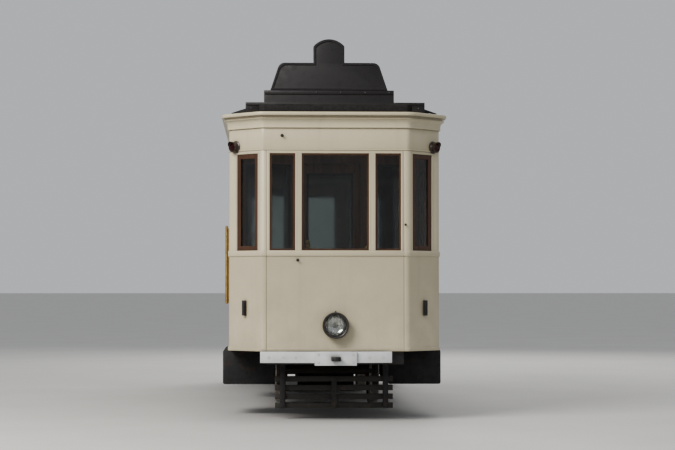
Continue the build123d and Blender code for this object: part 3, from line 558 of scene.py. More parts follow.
# Finish, rounding of the edges, and the nodes that have both
dressed = (
    (wallCream, 0.004, "end_wall_front", "end_wall_rear", "vestibule_sides_front", "vestibule_sides_rear",
     "side_wall_left", "side_wall_right"),
    (wallCream, 0.003, "letterboard"),
    (floorWood, 0.002, "floors"),
    (innerWood, 0.003, "bulkheads", "saloon_door_front", "saloon_door_rear"),
    (blackIron, 0.004, "underframe", "resistor_boxes"),
    (gearIron, 0.004, "truck_frame"),
    (gearIron, 0.003, "axle_boxes", "brake_rigging"),
    (springSteel, 0.0012, "leaf_springs"),
    (motorIron, 0.008, "motors"),
    (blackIron, 0.002, "entrance_steps", "lamp_brackets"),
    (guardWood, 0.004, "lifeguards", "pole_rests"),
    (bumperGrey, 0.005, "bumpers"),
    (blackIron, 0.005, "drawbars"),
    (roofPaint, 0.004, "roof"),
    (boardEnamel, 0.004, "headboards"),
    (brassMetal, 0.0015, "door_tracks", "saloon_door_tracks"),
    (brassMetal, 0.0, "strap_rails", "door_handrails"),
    (wheelFront, 0.003, "wheelset_front"),
    (wheelRear, 0.003, "wheelset_rear"),
    (doorCream, 0.003, "door_front_left", "door_front_right", "door_rear_left", "door_rear_right"),
)
for material, rounding, *nodes in dressed:
    for node in nodes:
        dressNode(node, material, rounding)
for node, part in frame["nodes"].items():
    if "glass" in node:
        part.data.materials.clear()
        part.data.materials.append(lensGlass if node == "headlamp_glass" else windowGlass)
print("solids dressed")


# Outline of the body's plan, moved out by gap, as the solids have it
def planPoints(gap, steps=4):
    x, y = car["halfWidth"] + gap, car["halfLength"] + gap
    cut = car["cornerCut"] + gap * (2 - math.sqrt(2))
    radius = car["bendRadius"] + gap
    bends = [(x, y - cut), (x - cut, y), (cut - x, y), (-x, y - cut),
             (-x, cut - y), (cut - x, -y), (x - cut, -y), (x, cut - y)]
    reach = radius / math.cos(math.radians(22.5))
    points = []
    for i, (px, py) in enumerate(bends):
        middle = math.radians(45 * i + 22.5)
        for step in range(steps + 1):
            turn = math.radians(45 * (i + step / steps))
            points.append((px - reach * math.cos(middle) + radius * math.cos(turn),
                           py - reach * math.sin(middle) + radius * math.sin(turn)))
    return points


# A moulding right round the body: its section is (how far out, height above foot) pairs
def moulding(name, section, foot, replaced=()):
    bm = loft([[(x, y, foot + z) for x, y in planPoints(out)] for out, z in section], True)
    finishPiece(name, bm, cream, replaced, smoothAngle=50)


# A small foot, a cove, a groove and a square lip
cove = {"foot": 0.016, "low": 0.022, "reach": 0.039, "height": 0.069, "steps": 6}
corniceSection = [(-0.045, 0.0), (0.012, 0.0), (0.017, 0.004), (0.017, 0.017), (cove["foot"], cove["low"])]
for i in range(1, cove["steps"] + 1):
    turn = math.radians(90 * i / cove["steps"])
    corniceSection.append((cove["foot"] + cove["reach"] * (1 - math.cos(turn)),
                           cove["low"] + cove["height"] * math.sin(turn)))
corniceSection += [(0.055, 0.094), (0.038, 0.095), (0.038, 0.12), (0.071, 0.121), (0.075, 0.125),
                   (0.075, 0.15), (0.07, 0.155), (-0.045, 0.155)]
moulding("cornice_moulding", corniceSection, car["corniceZ"], ("cornice",))
beadSection = [(-0.002, 0.0), (0.004, 0.001), (0.007, 0.007), (0.004, 0.013), (-0.002, 0.014)]
moulding("letterboard_bead", beadSection, 2.666)


# Windows: a varnished sash in each hole, and a painted bead round it on the skin
window = {
    "low": 1.68, "high": 2.635, "play": 0.001, "sashThick": 0.031, "sashOut": -0.0225, "bead": 0.017,
    "beadThick": 0.007, "cover": 0.003, "paneX": 0.66, "paneWidth": 0.48, "paneBar": 0.03,
    "paneThick": 0.036, "paneIn": 0.02,
}
windowHeight = window["high"] - window["low"]
windowZ = (window["high"] + window["low"]) / 2
# Place on the skin at the rear right, width, width of the sash's bars, mirrored across the axes named
windowTable = [
    (onEnd(0.0), 0.66, 0.019, "Y"), (onEnd(0.52), 0.25, 0.019, "XY"),
    (onCorner(0.062 + 0.1465), 0.293, 0.046, "XY"), (onSide(3.66), 0.54, 0.028, "XY"),
] + [(onSide(y), 0.86, 0.028, "X") for y in (-2.0, -1.0, 0.0, 1.0, 2.0)]
sashes, beads = fresh(), fresh()
for place, width, bar, axes in windowTable:
    part = sash(width - window["play"], windowHeight - window["play"], bar, window["sashThick"])
    drop(sashes, mirrored(moved(part, place @ at(0, window["sashOut"], windowZ)), axes))
    part = sash(width + 2 * window["bead"], windowHeight + 2 * window["bead"],
                window["bead"] - window["cover"], window["beadThick"], 0.002)
    drop(beads, mirrored(moved(part, place @ at(z=windowZ)), axes))
pane = sash(window["paneWidth"] - window["play"], windowHeight - window["play"], window["paneBar"],
            window["paneThick"])
place = at(window["paneX"], car["bulkheadY"] + window["paneIn"], windowZ)
drop(sashes, mirrored(moved(pane, place), "XY"))
finishPiece("window_sashes", sashes, sashWood)
finishPiece("window_beads", beads, cream)


# Screws along the skirt and the waist rail
screw = {"radius": 0.0055, "height": 0.0022, "pitch": 0.155, "rows": (0.7075, 1.6525), "out": 0.0098}
screws = fresh()


def screwHead(radius, height, sides=8):
    return turned([(0, -0.001), (radius, -0.001), (radius, height * 0.4), (radius * 0.6, height),
                   (0, height)], sides)


def screwRow(place, length, z):
    count = max(2, round(length / screw["pitch"]))
    for i in range(count):
        along = (i + 0.5) * length / count - length / 2
        drop(screws, screwHead(screw["radius"], screw["height"]),
             place @ at(along, screw["out"], z) @ pointOut)


for z in screw["rows"]:
    for place, length in ((onEnd(0.34), 0.68), (onCorner(0.2333), 0.38), (onSide(3.66), 0.62),
                          (onSide(1.3), 2.56)):
        screwRow(place, length, z)
finishPiece("skin_screws", mirrored(screws, "XY"), screwCream)
print("body finished")


# Headlamp: pressed shell with a rolled rim and a foot, reflector, bulb and ribs on the glass
lamp = {"z": 0.945, "sides": 56, "ribX": (-0.075, -0.045, -0.015, 0.015, 0.045, 0.075), "ribHalf": 0.006,
        "glass": 0.103, "footY": -0.135}
lampPlace = onEnd(0.0, lamp["z"]) @ pointOut
shell = turned([
    (0, 0), (0.1, 0), (0.106, 0.004), (0.11, 0.016), (0.12, 0.034), (0.126, 0.056), (0.126, 0.068),
    (0.13, 0.072), (0.13, 0.088), (0.127, 0.094), (0.12, 0.095), (0.112, 0.093), (0.107, 0.087),
    (0.107, 0.063), (0.096, 0.04), (0.07, 0.022), (0.035, 0.014), (0, 0.012)], lamp["sides"])
drop(shell, rod((0, lamp["footY"], 0.04), (0, lamp["footY"], 0.07), 0.008))
reflector = turned([
    (0, 0.0135), (0.034, 0.0155), (0.069, 0.0235), (0.095, 0.0415), (0.1055, 0.063), (0.1045, 0.064),
    (0.093, 0.043), (0.068, 0.0255), (0.033, 0.0175), (0, 0.0155)], lamp["sides"])
bulb = turned([(0, 0.015), (0.01, 0.015), (0.01, 0.03), (0.018, 0.04), (0.02, 0.048),
               (0.015, 0.057), (0, 0.061)], 20)
ribs = fresh()
for x in lamp["ribX"]:
    half = math.sqrt(lamp["glass"] ** 2 - x ** 2)
    drop(ribs, slab(about(x, lamp["ribHalf"]), (-half, half), (0.084, 0.0865), 0.001, 1))
for name, part, slotName, material, replaced in (
        ("headlamp_shells", shell, "lamp_enamel", lampEnamel, ("headlamps",)),
        ("headlamp_reflectors", reflector, "lamp_enamel", chromeMetal, ()),
        ("headlamp_bulbs", bulb, "glass", opalGlass, ()),
        ("headlamp_ribs", ribs, "glass", lensGlass, ())):
    finishPiece(name, mirrored(moved(part, lampPlace), "Y"), material, replaced)

# Marker lamps high on the corner faces, each with a visor over its lens, longest at the top
marker = {"z": 2.712, "fromBend": 0.095, "foot": 0.046, "visor": 0.036, "inner": 0.05, "outer": 0.0525,
          "stations": 8, "stationTurn": 11}
markerShell = turned([
    (0, 0), (0.062, 0), (0.062, 0.005), (0.059, 0.008), (0.05, 0.012), (0.047, 0.018), (0.045, 0.04),
    (0.051, 0.043), (0.052, 0.05), (0.048, 0.055), (0.043, 0.054), (0.04, 0.049), (0.04, 0.043),
    (0, 0.043)])
markerLens = turned([(0, 0.0435), (0.0395, 0.0435), (0.0395, 0.048), (0.03, 0.0525), (0.015, 0.0545),
                     (0, 0.055)], 28)
visor = []
for i in range(-marker["stations"], marker["stations"] + 1):
    turn = math.radians(marker["stationTurn"] * i)
    front = marker["foot"] + marker["visor"] * math.cos(turn) ** 0.7
    section = ((marker["inner"], marker["foot"]), (marker["inner"], front), (marker["outer"], front),
               (marker["outer"], marker["foot"]))
    visor.append([(r * math.sin(turn), -r * math.cos(turn), z) for r, z in section])
drop(markerShell, loft(visor))
markerPlace = onCorner(car["cornerCut"] * math.sqrt(2) - marker["fromBend"], marker["z"]) @ pointOut
finishPiece("marker_shells", mirrored(moved(markerShell, markerPlace), "XY"), lampEnamel,
            ("marker_lamps",))
finishPiece("marker_lenses", mirrored(moved(markerLens, markerPlace), "XY"), redLens)

# Small iron knobs that the photograph shows on the end: place across the rear one, height, radius
knobs = fresh()
for x, z, radius in ((0.525, 2.81, 0.016), (0.37, 1.585, 0.015), (-0.69, 1.935, 0.011)):
    knob = turned([(0, -0.002), (radius, -0.002), (radius, 0.004), (radius * 0.45, 0.007),
                   (radius * 0.45, 0.02), (radius * 0.8, 0.024), (radius * 0.8, 0.03), (0, 0.033)], 16)
    drop(knobs, knob, onEnd(x, z) @ pointOut)
finishPiece("end_knobs", halfTurned(knobs), blackIron)

# The roof's skin: an arc across, its ends sloped down
roof = {"crown": 3.185, "radius": 4.306, "slopeStart": 3.43, "slope": 0.0667, "lapHalf": 0.022,
        "lapHigh": 0.0035, "lapPitch": 0.8, "reach": 1.02, "steps": 20}


def roofHeight(x, y=0.0):
    arc = math.sqrt(roof["radius"] ** 2 - x ** 2) - roof["radius"]
    return roof["crown"] + arc - roof["slope"] * max(0.0, y - roof["slopeStart"])


# Headboards: a raised rim on the outer face, battens, bolts, and two stays behind
board = {
    "shift": 0.062, "face": 4.285, "back": 4.165, "rim": 0.016, "rimProud": 0.009, "sunk": 0.001,
    "low": 3.268, "lowHalf": 0.574, "shoulderZ": 3.53, "shoulderHalf": 0.484, "shoulderRound": 0.06,
    "boxHalf": 0.148, "archZ": 3.697, "archRise": 0.068, "archSteps": 12, "battenHalf": 0.638,
    "batten": (3.222, 3.258), "plinthHalf": 0.88, "plinth": (3.112, 3.14), "battenProud": 0.01,
    "boltX": (-0.6, -0.36, -0.12, 0.12, 0.36, 0.6), "battenBoltZ": 3.24, "plinthBoltZ": 3.082,
    "plinthSpread": 1.38, "stayX": 0.33, "stayY": 3.72, "stayTop": 3.45,
}
outline = [(board["lowHalf"], board["low"]), (board["shoulderHalf"], board["shoulderZ"]),
           (board["boxHalf"], board["shoulderZ"])]
arch = []
for i in range(board["archSteps"] + 1):
    share = i / board["archSteps"] * 2 - 1
    arch.append((-share * board["boxHalf"], board["archZ"] + board["archRise"] * (1 - share ** 2)))
rim = flat(outline + arch + [(-x, z) for x, z in reversed(outline)])
eased(rim, [v for v in rim.verts if abs(abs(v.co.x) - board["shoulderHalf"]) < 0.001],
      board["shoulderRound"], 5, "VERTICES")
bmesh.ops.inset_region(rim, faces=rim.faces[:], thickness=board["rim"], use_boundary=True,
                       use_even_offset=True)
bmesh.ops.delete(rim, geom=[max(rim.faces, key=lambda f: len(f.verts))], context="FACES_ONLY")
moved(thickened(rim, board["rimProud"]), at(board["shift"], board["face"] - board["sunk"]))
battenY = (board["face"] - 0.002, board["face"] + board["battenProud"])
drop(rim, slab(about(board["shift"], board["battenHalf"]), battenY, board["batten"], 0.004))
drop(rim, slab(about(0, board["plinthHalf"]), battenY, board["plinth"], 0.004))
for x in board["boltX"]:
    for place in (at(board["shift"] + x, battenY[1] - board["sunk"], board["battenBoltZ"]),
                  at(board["plinthSpread"] * x, board["face"] - board["sunk"], board["plinthBoltZ"])):
        drop(rim, screwHead(0.01, 0.005, 12), place @ pointOut)
stays = fresh()
for x in about(board["shift"], board["stayX"]):
    foot = roofHeight(x, board["stayY"])
    drop(stays, rod((x, board["back"] + 0.004, board["stayTop"]), (x, board["stayY"], foot + 0.004),
                    0.01, 12))
    drop(stays, slab(about(x, 0.03), (board["back"] - 0.008, board["back"] + 0.001),
                     about(board["stayTop"], 0.04)))
    drop(stays, slab(about(x, 0.03), about(board["stayY"], 0.05), about(foot, 0.008)))
finishPiece("headboard_rims", halfTurned(rim), boardEnamel)
finishPiece("headboard_stays", halfTurned(stays), blackIron)
print("lamps and boards made")


# Laps of the roof's canvas across the car, and battens under the trolley boards
laps = fresh()
lapSection = ((-1, -0.002), (-0.9, roof["lapHigh"]), (0.9, roof["lapHigh"]), (1, -0.002))
stations = [(2 * i / roof["steps"] - 1) * roof["reach"] for i in range(roof["steps"] + 1)]
for i in range(-4, 5):
    y = i * roof["lapPitch"]
    drop(laps, loft([[(x, y + s * roof["lapHalf"], roofHeight(x) + h) for s, h in lapSection]
                     for x in stations]))
finishPiece("roof_laps", laps, roofPaint)

trolley = {"z": 3.245, "half": 0.62, "boardHalf": 0.049, "pitch": 0.118, "thick": 0.022, "low": 3.174,
           "battenX": 0.23, "battenHalf": 0.028, "battenPitch": 0.27}
boards = fresh()
boardLow = trolley["z"] - trolley["thick"]
for i in (-1.5, -0.5, 0.5, 1.5):
    drop(boards, slab(about(i * trolley["pitch"], trolley["boardHalf"]), about(0, trolley["half"]),
                      (boardLow, trolley["z"]), 0.004))
for i in range(-2, 3):
    drop(boards, slab(about(0, trolley["battenX"]), about(i * trolley["battenPitch"], trolley["battenHalf"]),
                      (trolley["low"], boardLow + 0.001), 0.004))
drop(boards, turned([(0, 3.243), (0.15, 3.243), (0.15, 3.264), (0.147, 3.267), (0, 3.267)], 48))
finishPiece("trolley_boards", boards, guardWood, ("trolley_plank",))

# Trolley stand: turntable, cheeks, pivot and two coil springs on a rod at each side
stand = {"low": 3.2693, "top": 3.2973, "radius": 0.15, "cheekX": 0.062, "cheekThick": 0.014, "pivotZ": 3.4,
         "armX": 0.128, "springX": 0.104, "springZ": 3.338, "coil": 0.019, "wire": 0.0042, "turns": 21,
         "perTurn": 14, "coilLength": 0.22}
edge = stand["radius"] - 0.004
base = turned([(0, stand["low"]), (edge, stand["low"]), (stand["radius"], stand["low"] + 0.004),
               (stand["radius"], 3.293), (edge, stand["top"]), (0.05, stand["top"]), (0.04, 3.306),
               (0, 3.306)], 48)
for side in (-1, 1):
    x = side * stand["cheekX"]
    cheek = plate([(-0.055, 3.294), (0.055, 3.294), (0.04, 3.435), (-0.04, 3.435)],
                  stand["cheekThick"], 0.02, 0.002)
    drop(base, cheek, at(x - stand["cheekThick"] / 2) @ quarter("Z", -1))
    drop(base, slab(sorted((x, side * stand["armX"])), about(0, 0.018), (3.298, 3.355), 0.004))
    x = side * stand["springX"]
    drop(base, rod((x, -0.285, stand["springZ"]), (x, 0.165, stand["springZ"]), 0.006, 12))
    for y, share in ((-0.265, 1), (0.045, 0.5)):
        coil = coiled(stand["coil"], stand["wire"], 6, stand["turns"] * stand["perTurn"],
                      stand["turns"], stand["coilLength"])
        drop(base, coil, at(x, y, stand["springZ"]) @ pointOut @ Matrix.Scale(share, 4, (0, 0, 1)))
drop(base, rod((-0.08, 0, stand["pivotZ"]), (0.08, 0, stand["pivotZ"]), 0.0148, 24))
for x in (-0.08, 0.072):
    drop(base, rod((x, 0, stand["pivotZ"]), (x + 0.008, 0, stand["pivotZ"]), 0.022, 6))
finishPiece("trolley_stand", base, poleSteel, ("trolley_base",), "trolley_swivel")

# Trolley pole in three drawn lengths, with its fork and grooved wheel
wheelY, wheelZ = 3.94, 3.42
pole = moved(turned([(0, 0.03), (0.027, 0.03), (0.027, 1.27), (0.023, 1.3), (0.023, 2.57), (0.019, 2.6),
                     (0.019, 3.885), (0.014, 3.9), (0, 3.9)], 24), at(z=stand["pivotZ"]) @ pointOut)
boss = turned([(0.0155, -0.049), (0.038, -0.049), (0.042, -0.045), (0.042, 0.045), (0.038, 0.049),
               (0.0155, 0.049), (0.0155, -0.049)], 32)
drop(pole, boss, at(z=stand["pivotZ"]) @ quarter("Y"))
drop(pole, slab((-0.011, 0.011), (3.86, 3.905), (3.388, 3.414)))
for x in (-0.0145, 0.0095):
    drop(pole, slab((x, x + 0.005), (3.885, 3.955), (3.404, 3.432), 0.002))
drop(pole, rod((-0.015, wheelY, wheelZ), (0.015, wheelY, wheelZ), 0.006, 12))
groove = [(0.007, -0.008), (0.03, -0.009), (0.0335, -0.008), (0.034, -0.006), (0.026, -0.001),
          (0.026, 0.001), (0.034, 0.006), (0.0335, 0.008), (0.03, 0.009), (0.007, 0.008), (0.007, -0.008)]
drop(pole, turned(groove, 40), at(0, wheelY, wheelZ) @ quarter("Y"))
finishPiece("trolley_pole_tube", pole, poleSteel, ("trolley_pole",), "trolley_arm")
print("roof gear made")


# Hexagon bolt head with its washer, at a place and pointing along an axis
def boltAt(target, place, axis, radius=0.012, height=0.011):
    washer = radius * 1.35
    head = turned([(0, -0.002), (washer, -0.002), (washer, height * 0.25), (radius, height * 0.25),
                   (radius, height * 0.9), (radius * 0.85, height), (0, height)], 6)
    drop(target, head, aim(place, Vector(place) + Vector(axis)))


# Truck frame: face that the bolts are on, places along it, heights, radius and height of the heads
frameBolts = fresh()
for x, along, heights, radius, height in (
        (0.6655, (0.25, 0.62, 1.02, 1.78, 1.98), (0.615, 0.665), 0.012, 0.011),
        (0.6655, (1.13, 1.67), (0.34, 0.42, 0.5), 0.01, 0.011),
        (0.7205, (1.37, 1.43), (0.335, 0.465), 0.009, 0.009)):
    for y, z in product(along, heights):
        boltAt(frameBolts, (x, y, z), (1, 0, 0), radius, height)
finishPiece("frame_bolts", mirrored(frameBolts, "XY"), gearIron)

bumper = {"shift": 0.093, "half": 0.645, "end": 4.404, "bow": 0.04, "z": 0.635, "pocket": 4.459,
          "bolt": (0.01, 0.006)}
bumperBolts = fresh()
for x in (-0.56, -0.42, 0.3, 0.42, 0.56):
    y = bumper["end"] + bumper["bow"] * (1 - (x / bumper["half"]) ** 2)
    boltAt(bumperBolts, (bumper["shift"] + x, y, bumper["z"]), (0, 1, 0), *bumper["bolt"])
for x, z in product((-0.17, 0.17), (0.585, 0.665)):
    boltAt(bumperBolts, (x, bumper["pocket"], z), (0, 1, 0), *bumper["bolt"])
finishPiece("bumper_bolts", halfTurned(bumperBolts), bumperGrey)

# Lifeguards: bolts behind the slats, and two flat irons down them
guard = {"boltY": 3.9, "ironX": 0.515, "ironHalf": 0.022, "ironY": (3.954, 3.964), "ironZ": (0.112, 0.56)}
guardBolts = fresh()
for x, z in product((-guard["ironX"], 0.0, guard["ironX"]), (0.137, 0.226, 0.314, 0.402)):
    boltAt(guardBolts, (x, guard["boltY"], z), (0, -1, 0), 0.009, 0.007)
for x in about(0, guard["ironX"]):
    drop(guardBolts, slab(about(x, guard["ironHalf"]), guard["ironY"], guard["ironZ"], 0.002))
finishPiece("guard_bolts", mirrored(guardBolts, "Y"), blackIron)

hub = {"face": 0.5895, "radius": 0.083, "bolts": 8}
for end, y, material in (("front", -car["axleY"], wheelFront), ("rear", car["axleY"], wheelRear)):
    hubBolts = fresh()
    for i in range(hub["bolts"]):
        turn = math.tau * i / hub["bolts"]
        spot = (hub["face"], y + hub["radius"] * math.cos(turn),
                car["axleZ"] + hub["radius"] * math.sin(turn))
        boltAt(hubBolts, spot, (1, 0, 0), 0.009, 0.01)
    finishPiece("wheel_fittings_" + end, mirrored(hubBolts, "X"), material, (),
                "wheelset_" + end)

# Tread bars and nosing of the entrance steps
step = {"low": 0.349, "inner": 0.612, "barEnd": 1.088, "nosing": 1.094, "outer": 1.118, "start": 2.65,
        "end": 3.29, "bars": 13, "barHalf": 0.011, "barTop": 0.356, "nosingTop": 0.357}
treads = slab((step["nosing"], step["outer"]), (step["start"], step["end"]),
              (step["low"], step["nosingTop"]), 0.002)
for i in range(step["bars"]):
    y = step["start"] + (i + 0.5) * (step["end"] - step["start"]) / step["bars"]
    drop(treads, slab((step["inner"], step["barEnd"]), about(y, step["barHalf"]),
                      (step["low"], step["barTop"]), 0.002))
finishPiece("step_treads", mirrored(treads, "XY"), treadSteel)
print("running gear fitted")


# A door's sash and fittings, made at the rear right and flipped to where that door is
def hang(kind, corner, body, flip, frameMesh, fittings):
    for what, part, slotName, material in (("_sash_", frameMesh, "inner_wood", sashWood),
                                           ("_fittings_", fittings, "brass", brassMetal)):
        bmesh.ops.scale(part, vec=(*flip, 1), verts=part.verts)
        finishPiece(kind + what + corner, facedOut(part), material, (), body + corner)


# An upright bar on two posts that run into the door
def pullBar(target, bar, postZ, doorFace):
    x, y, z, radius, sides = bar
    drop(target, rod((x, y, z[0]), (x, y, z[1]), radius, sides, 0.003))
    for height in postZ:
        drop(target, rod((x, y, height), (*doorFace, height), radius - 0.002, sides - 4))


# Platform doors: sash, flush pull outside, pull bar inside and kick plates
door = {"place": (0.9785, 2.9825, 2.11), "width": 0.484, "height": 0.859, "bar": 0.022, "thick": 0.03,
        "kickY": (2.66, 3.305), "kickZ": (0.76, 0.835)}
corners = {"rear_right": (1, 1), "front_right": (1, -1), "rear_left": (-1, 1), "front_left": (-1, -1)}
for corner, flip in corners.items():
    frameMesh = moved(sash(door["width"], door["height"], door["bar"], door["thick"]),
                      at(*door["place"]) @ quarter("Z"))
    fittings = slab((0.996, 0.999), (2.672, 2.712), (1.43, 1.56), 0.0009)
    drop(fittings, slab((0.998, 1.001), (2.682, 2.702), (1.45, 1.54), 0.0009))
    for x in ((0.996, 0.9985), (0.9585, 0.961)):
        drop(fittings, slab(x, door["kickY"], door["kickZ"], 0.0006))
    pullBar(fittings, (0.93, 2.692, (1.38, 1.6), 0.009, 16), (1.4, 1.58), (0.961, 2.692))
    hang("door", corner, "platform_door_", flip, frameMesh, fittings)

# Saloon doors: sash and pull
for end, flip in (("rear", (1, 1)), ("front", (1, -1))):
    frameMesh = moved(sash(0.499, door["height"], door["bar"], door["thick"]), at(0, 2.5735, 2.11))
    fittings = slab((-0.315, -0.275), (2.5535, 2.556), (1.78, 1.92), 0.0009)
    pullBar(fittings, (-0.295, 2.53, (1.8, 1.9), 0.007, 14), (1.815, 1.885), (-0.295, 2.556))
    hang("saloon_door", end, "saloon_door_leaf_", flip, frameMesh, fittings)

# Square plates with screws at the feet of the handrails, and a sill in each doorway
railFeet = slab((1.012, 1.0505), (2.645, 3.295), (0.7395, 0.743), 0.0015)
for y, z in product((2.585, 3.34), (1.19, 1.91)):
    drop(railFeet, slab((1.049, 1.054), about(y, 0.021), about(z, 0.03), 0.0015))
    drop(railFeet, slab((1.052, 1.06), about(y, 0.013), about(z, 0.013), 0.002))
    for screwZ in about(z, 0.021):
        drop(railFeet, screwHead(0.005, 0.002), aim((1.0535, y, screwZ), (2, y, screwZ)))
finishPiece("handrail_feet", mirrored(railFeet, "XY"), brassMetal)
print("doors fitted")


# Slatted benches on iron legs: the seat dips behind its middle, the back leans out
bench = {"half": 2.48, "slats": 6, "seatX": 0.594, "seatDepth": 0.315, "seatZ": 1.312, "backX": 0.950125,
         "backZ": 1.37, "backStep": (0.0063, 0.072), "lean": 0.087, "legs": 7, "legSpan": 4.92,
         "legHalf": 0.011}
along = about(0, bench["half"])
slats, legs = fresh(), fresh()
for i in range(bench["slats"]):
    share = i / (bench["slats"] - 1)
    x = bench["seatX"] + bench["seatDepth"] * share
    z = bench["seatZ"] + 0.01 * math.sin(math.pi * min(1, share * 1.3)) - 0.016 * share
    drop(slats, slab(about(0, 0.026), along, about(0, 0.009), 0.005, 3),
         at(x, 0, z) @ Matrix.Rotation(0.36 * share - 0.28, 4, "Y"))
    outward, upward = bench["backStep"]
    drop(slats, slab(about(0, 0.007), along, about(0, 0.028), 0.004, 3),
         at(bench["backX"] + outward * i, 0, bench["backZ"] + upward * i)
         @ Matrix.Rotation(bench["lean"], 4, "Y"))
bracket = [(0.635, 0.88), (0.685, 0.88), (0.672, 0.91), (0.662, 1.12), (0.7, 1.258), (0.93, 1.25),
           (0.962, 1.5), (0.985, 1.765), (0.97, 1.765), (0.938, 1.5), (0.915, 1.286), (0.585, 1.296),
           (0.578, 1.278), (0.63, 1.262), (0.64, 1.12), (0.645, 0.91)]
for i in range(bench["legs"]):
    y = (i / (bench["legs"] - 1) - 0.5) * bench["legSpan"]
    drop(legs, plate(bracket, 2 * bench["legHalf"], 0.006, 0.002), at(y=y - bench["legHalf"]))
    drop(legs, slab((0.905, 1.004), about(y, bench["legHalf"]), (1.262, 1.28)))
finishPiece("bench_slats", mirrored(slats, "X"), benchWood, ("benches",))
finishPiece("bench_legs", mirrored(legs, "X"), blackIron)

# Strap-hangers on the rails: a leather loop over each rail, and a wooden ring in it
strap = {"x": 0.45, "top": 2.76, "low": 2.5655, "pitch": 0.42, "reach": 5, "half": 0.012, "inner": 0.0155,
         "outer": 0.0185, "gripZ": 2.516, "grip": 0.046, "gripTube": 0.0065}
straps, grips = fresh(), fresh()
for i in range(-strap["reach"], strap["reach"] + 1):
    y = i * strap["pitch"]
    rings = []
    for skin, side in (("outer", -1), ("outer", 1), ("inner", 1), ("inner", -1)):
        left, right = about(strap["x"], strap[skin])
        low, top = strap["low"] - strap[skin], strap["top"] + strap[skin]
        edge = y + side * strap["half"]
        rings.append([(left, edge, low), (right, edge, low), (right, edge, top), (left, edge, top)])
    drop(straps, loft(rings, True))
    drop(grips, coiled(strap["grip"], strap["gripTube"], 8, 28),
         at(strap["x"], y, strap["gripZ"]) @ quarter("Y"))
finishPiece("strap_leathers", mirrored(straps, "X"), leather)
finishPiece("strap_grips", mirrored(grips, "X"), sashWood)

# Ceiling of narrow boards, a flat panel over each platform, and shallow lamps
ceiling = {"crown": 3.149, "radius": 4.1, "boards": 20, "half": 0.99, "gap": 0.001, "halfLength": 2.598,
           "thick": 0.01, "lampZ": 3.136, "platformZ": 3.002}
lining = fresh()
halfBoard = ceiling["half"] / ceiling["boards"] - ceiling["gap"]
for i in range(ceiling["boards"]):
    x = ((i + 0.5) / ceiling["boards"] * 2 - 1) * ceiling["half"]
    z = ceiling["crown"] - ceiling["radius"] + math.sqrt(ceiling["radius"] ** 2 - x ** 2)
    drop(lining, slab(about(0, halfBoard), about(0, ceiling["halfLength"]),
                      (-ceiling["thick"], -ceiling["gap"]), 0.003, 1),
         at(x, 0, z) @ Matrix.Rotation(math.asin(x / ceiling["radius"]), 4, "Y"))
finishPiece("ceiling_boards", lining, ceilingWood)
panel = plate([(-0.99, -2.642), (-0.99, -3.98), (-0.7, -4.27), (0.7, -4.27), (0.99, -3.98),
               (0.99, -2.642)], ceiling["thick"])
finishPiece("platform_ceilings", mirrored(moved(panel, at(z=ceiling["platformZ"]) @ quarter("X")), "Y"),
            ceilingPaint)
bowls, rings = fresh(), fresh()
for y in (-3.3, -1.8, -0.6, 0.6, 1.8, 3.3):
    place = at(0, y, ceiling["lampZ"] if abs(y) < car["bulkheadY"] else ceiling["platformZ"])
    drop(bowls, turned([(0, -0.052), (0.03, -0.05), (0.055, -0.04), (0.07, -0.022), (0.072, -0.01),
                        (0.072, 0.0), (0, 0.0)], 28), place)
    drop(rings, turned([(0.07, -0.014), (0.086, -0.01), (0.09, 0.0), (0.07, 0.0), (0.07, -0.014)], 28),
         place)
finishPiece("ceiling_bowls", bowls, opalGlass)
finishPiece("ceiling_rings", rings, brassMetal)

# Duckboards on the floors: along the saloon, and across the platforms
duck = {"pitch": 0.039, "half": 0.014, "sunk": 0.001, "saloon": 22, "halfLength": 2.48, "platform": 30,
        "start": 2.7, "halfWidth": 0.9}
ducks = fresh()
for i in range(duck["saloon"]):
    x = (i - (duck["saloon"] - 1) / 2) * duck["pitch"]
    drop(ducks, slab(about(x, duck["half"]), about(0, duck["halfLength"]),
                     (car["saloonZ"] - duck["sunk"], car["saloonZ"] + 0.009), 0.002, 1))
finishPiece("saloon_duckboards", ducks, floorWood)
ducks = fresh()
for i in range(duck["platform"]):
    drop(ducks, slab(about(0, duck["halfWidth"]), about(duck["start"] + i * duck["pitch"], duck["half"]),
                     (car["platformZ"] - duck["sunk"], car["platformZ"] + 0.007), 0.002, 1))
finishPiece("platform_duckboards", mirrored(ducks, "Y"), duckWood)

# Controllers: cast case with a domed front and two bands, brass cap, handle and screws
control = {"radius": 0.163, "back": 0.222, "steps": 20, "height": 0.945, "bands": (0.8, 1.6),
           "knobY": -0.186, "screws": 9, "screwCircle": 0.118, "screwStart": 200, "screwTurn": 17.5}
outline = [(control["radius"], -control["back"]), (-control["radius"], -control["back"])]
for i in range(control["steps"] + 1):
    turn = math.pi * i / control["steps"]
    outline.append((-control["radius"] * math.cos(turn), control["radius"] * math.sin(turn)))
case = moved(plate(outline, control["height"], 0.0, 0.006), at(z=car["platformZ"]) @ quarter("X"))
for z in control["bands"]:
    drop(case, turned([(0.16, -0.008), (0.163, -0.008), (0.169, -0.005), (0.169, 0.005), (0.163, 0.008),
                       (0.16, 0.008), (0.16, -0.008)], 40), at(z=z))
brassGear = turned([(0, 1.684), (0.15, 1.684), (0.152, 1.69), (0.14, 1.697), (0.05, 1.702),
                    (0.024, 1.706), (0.022, 1.738), (0.014, 1.746), (0, 1.746)], 40)
drop(brassGear, slab((-0.012, 0.012), (-0.2, 0.018), (1.724, 1.738), 0.005, 3))
drop(brassGear, turned([(0, 1.735), (0.01, 1.735), (0.017, 1.75), (0.019, 1.775), (0.014, 1.792),
                        (0, 1.796)], 24), at(y=control["knobY"]))
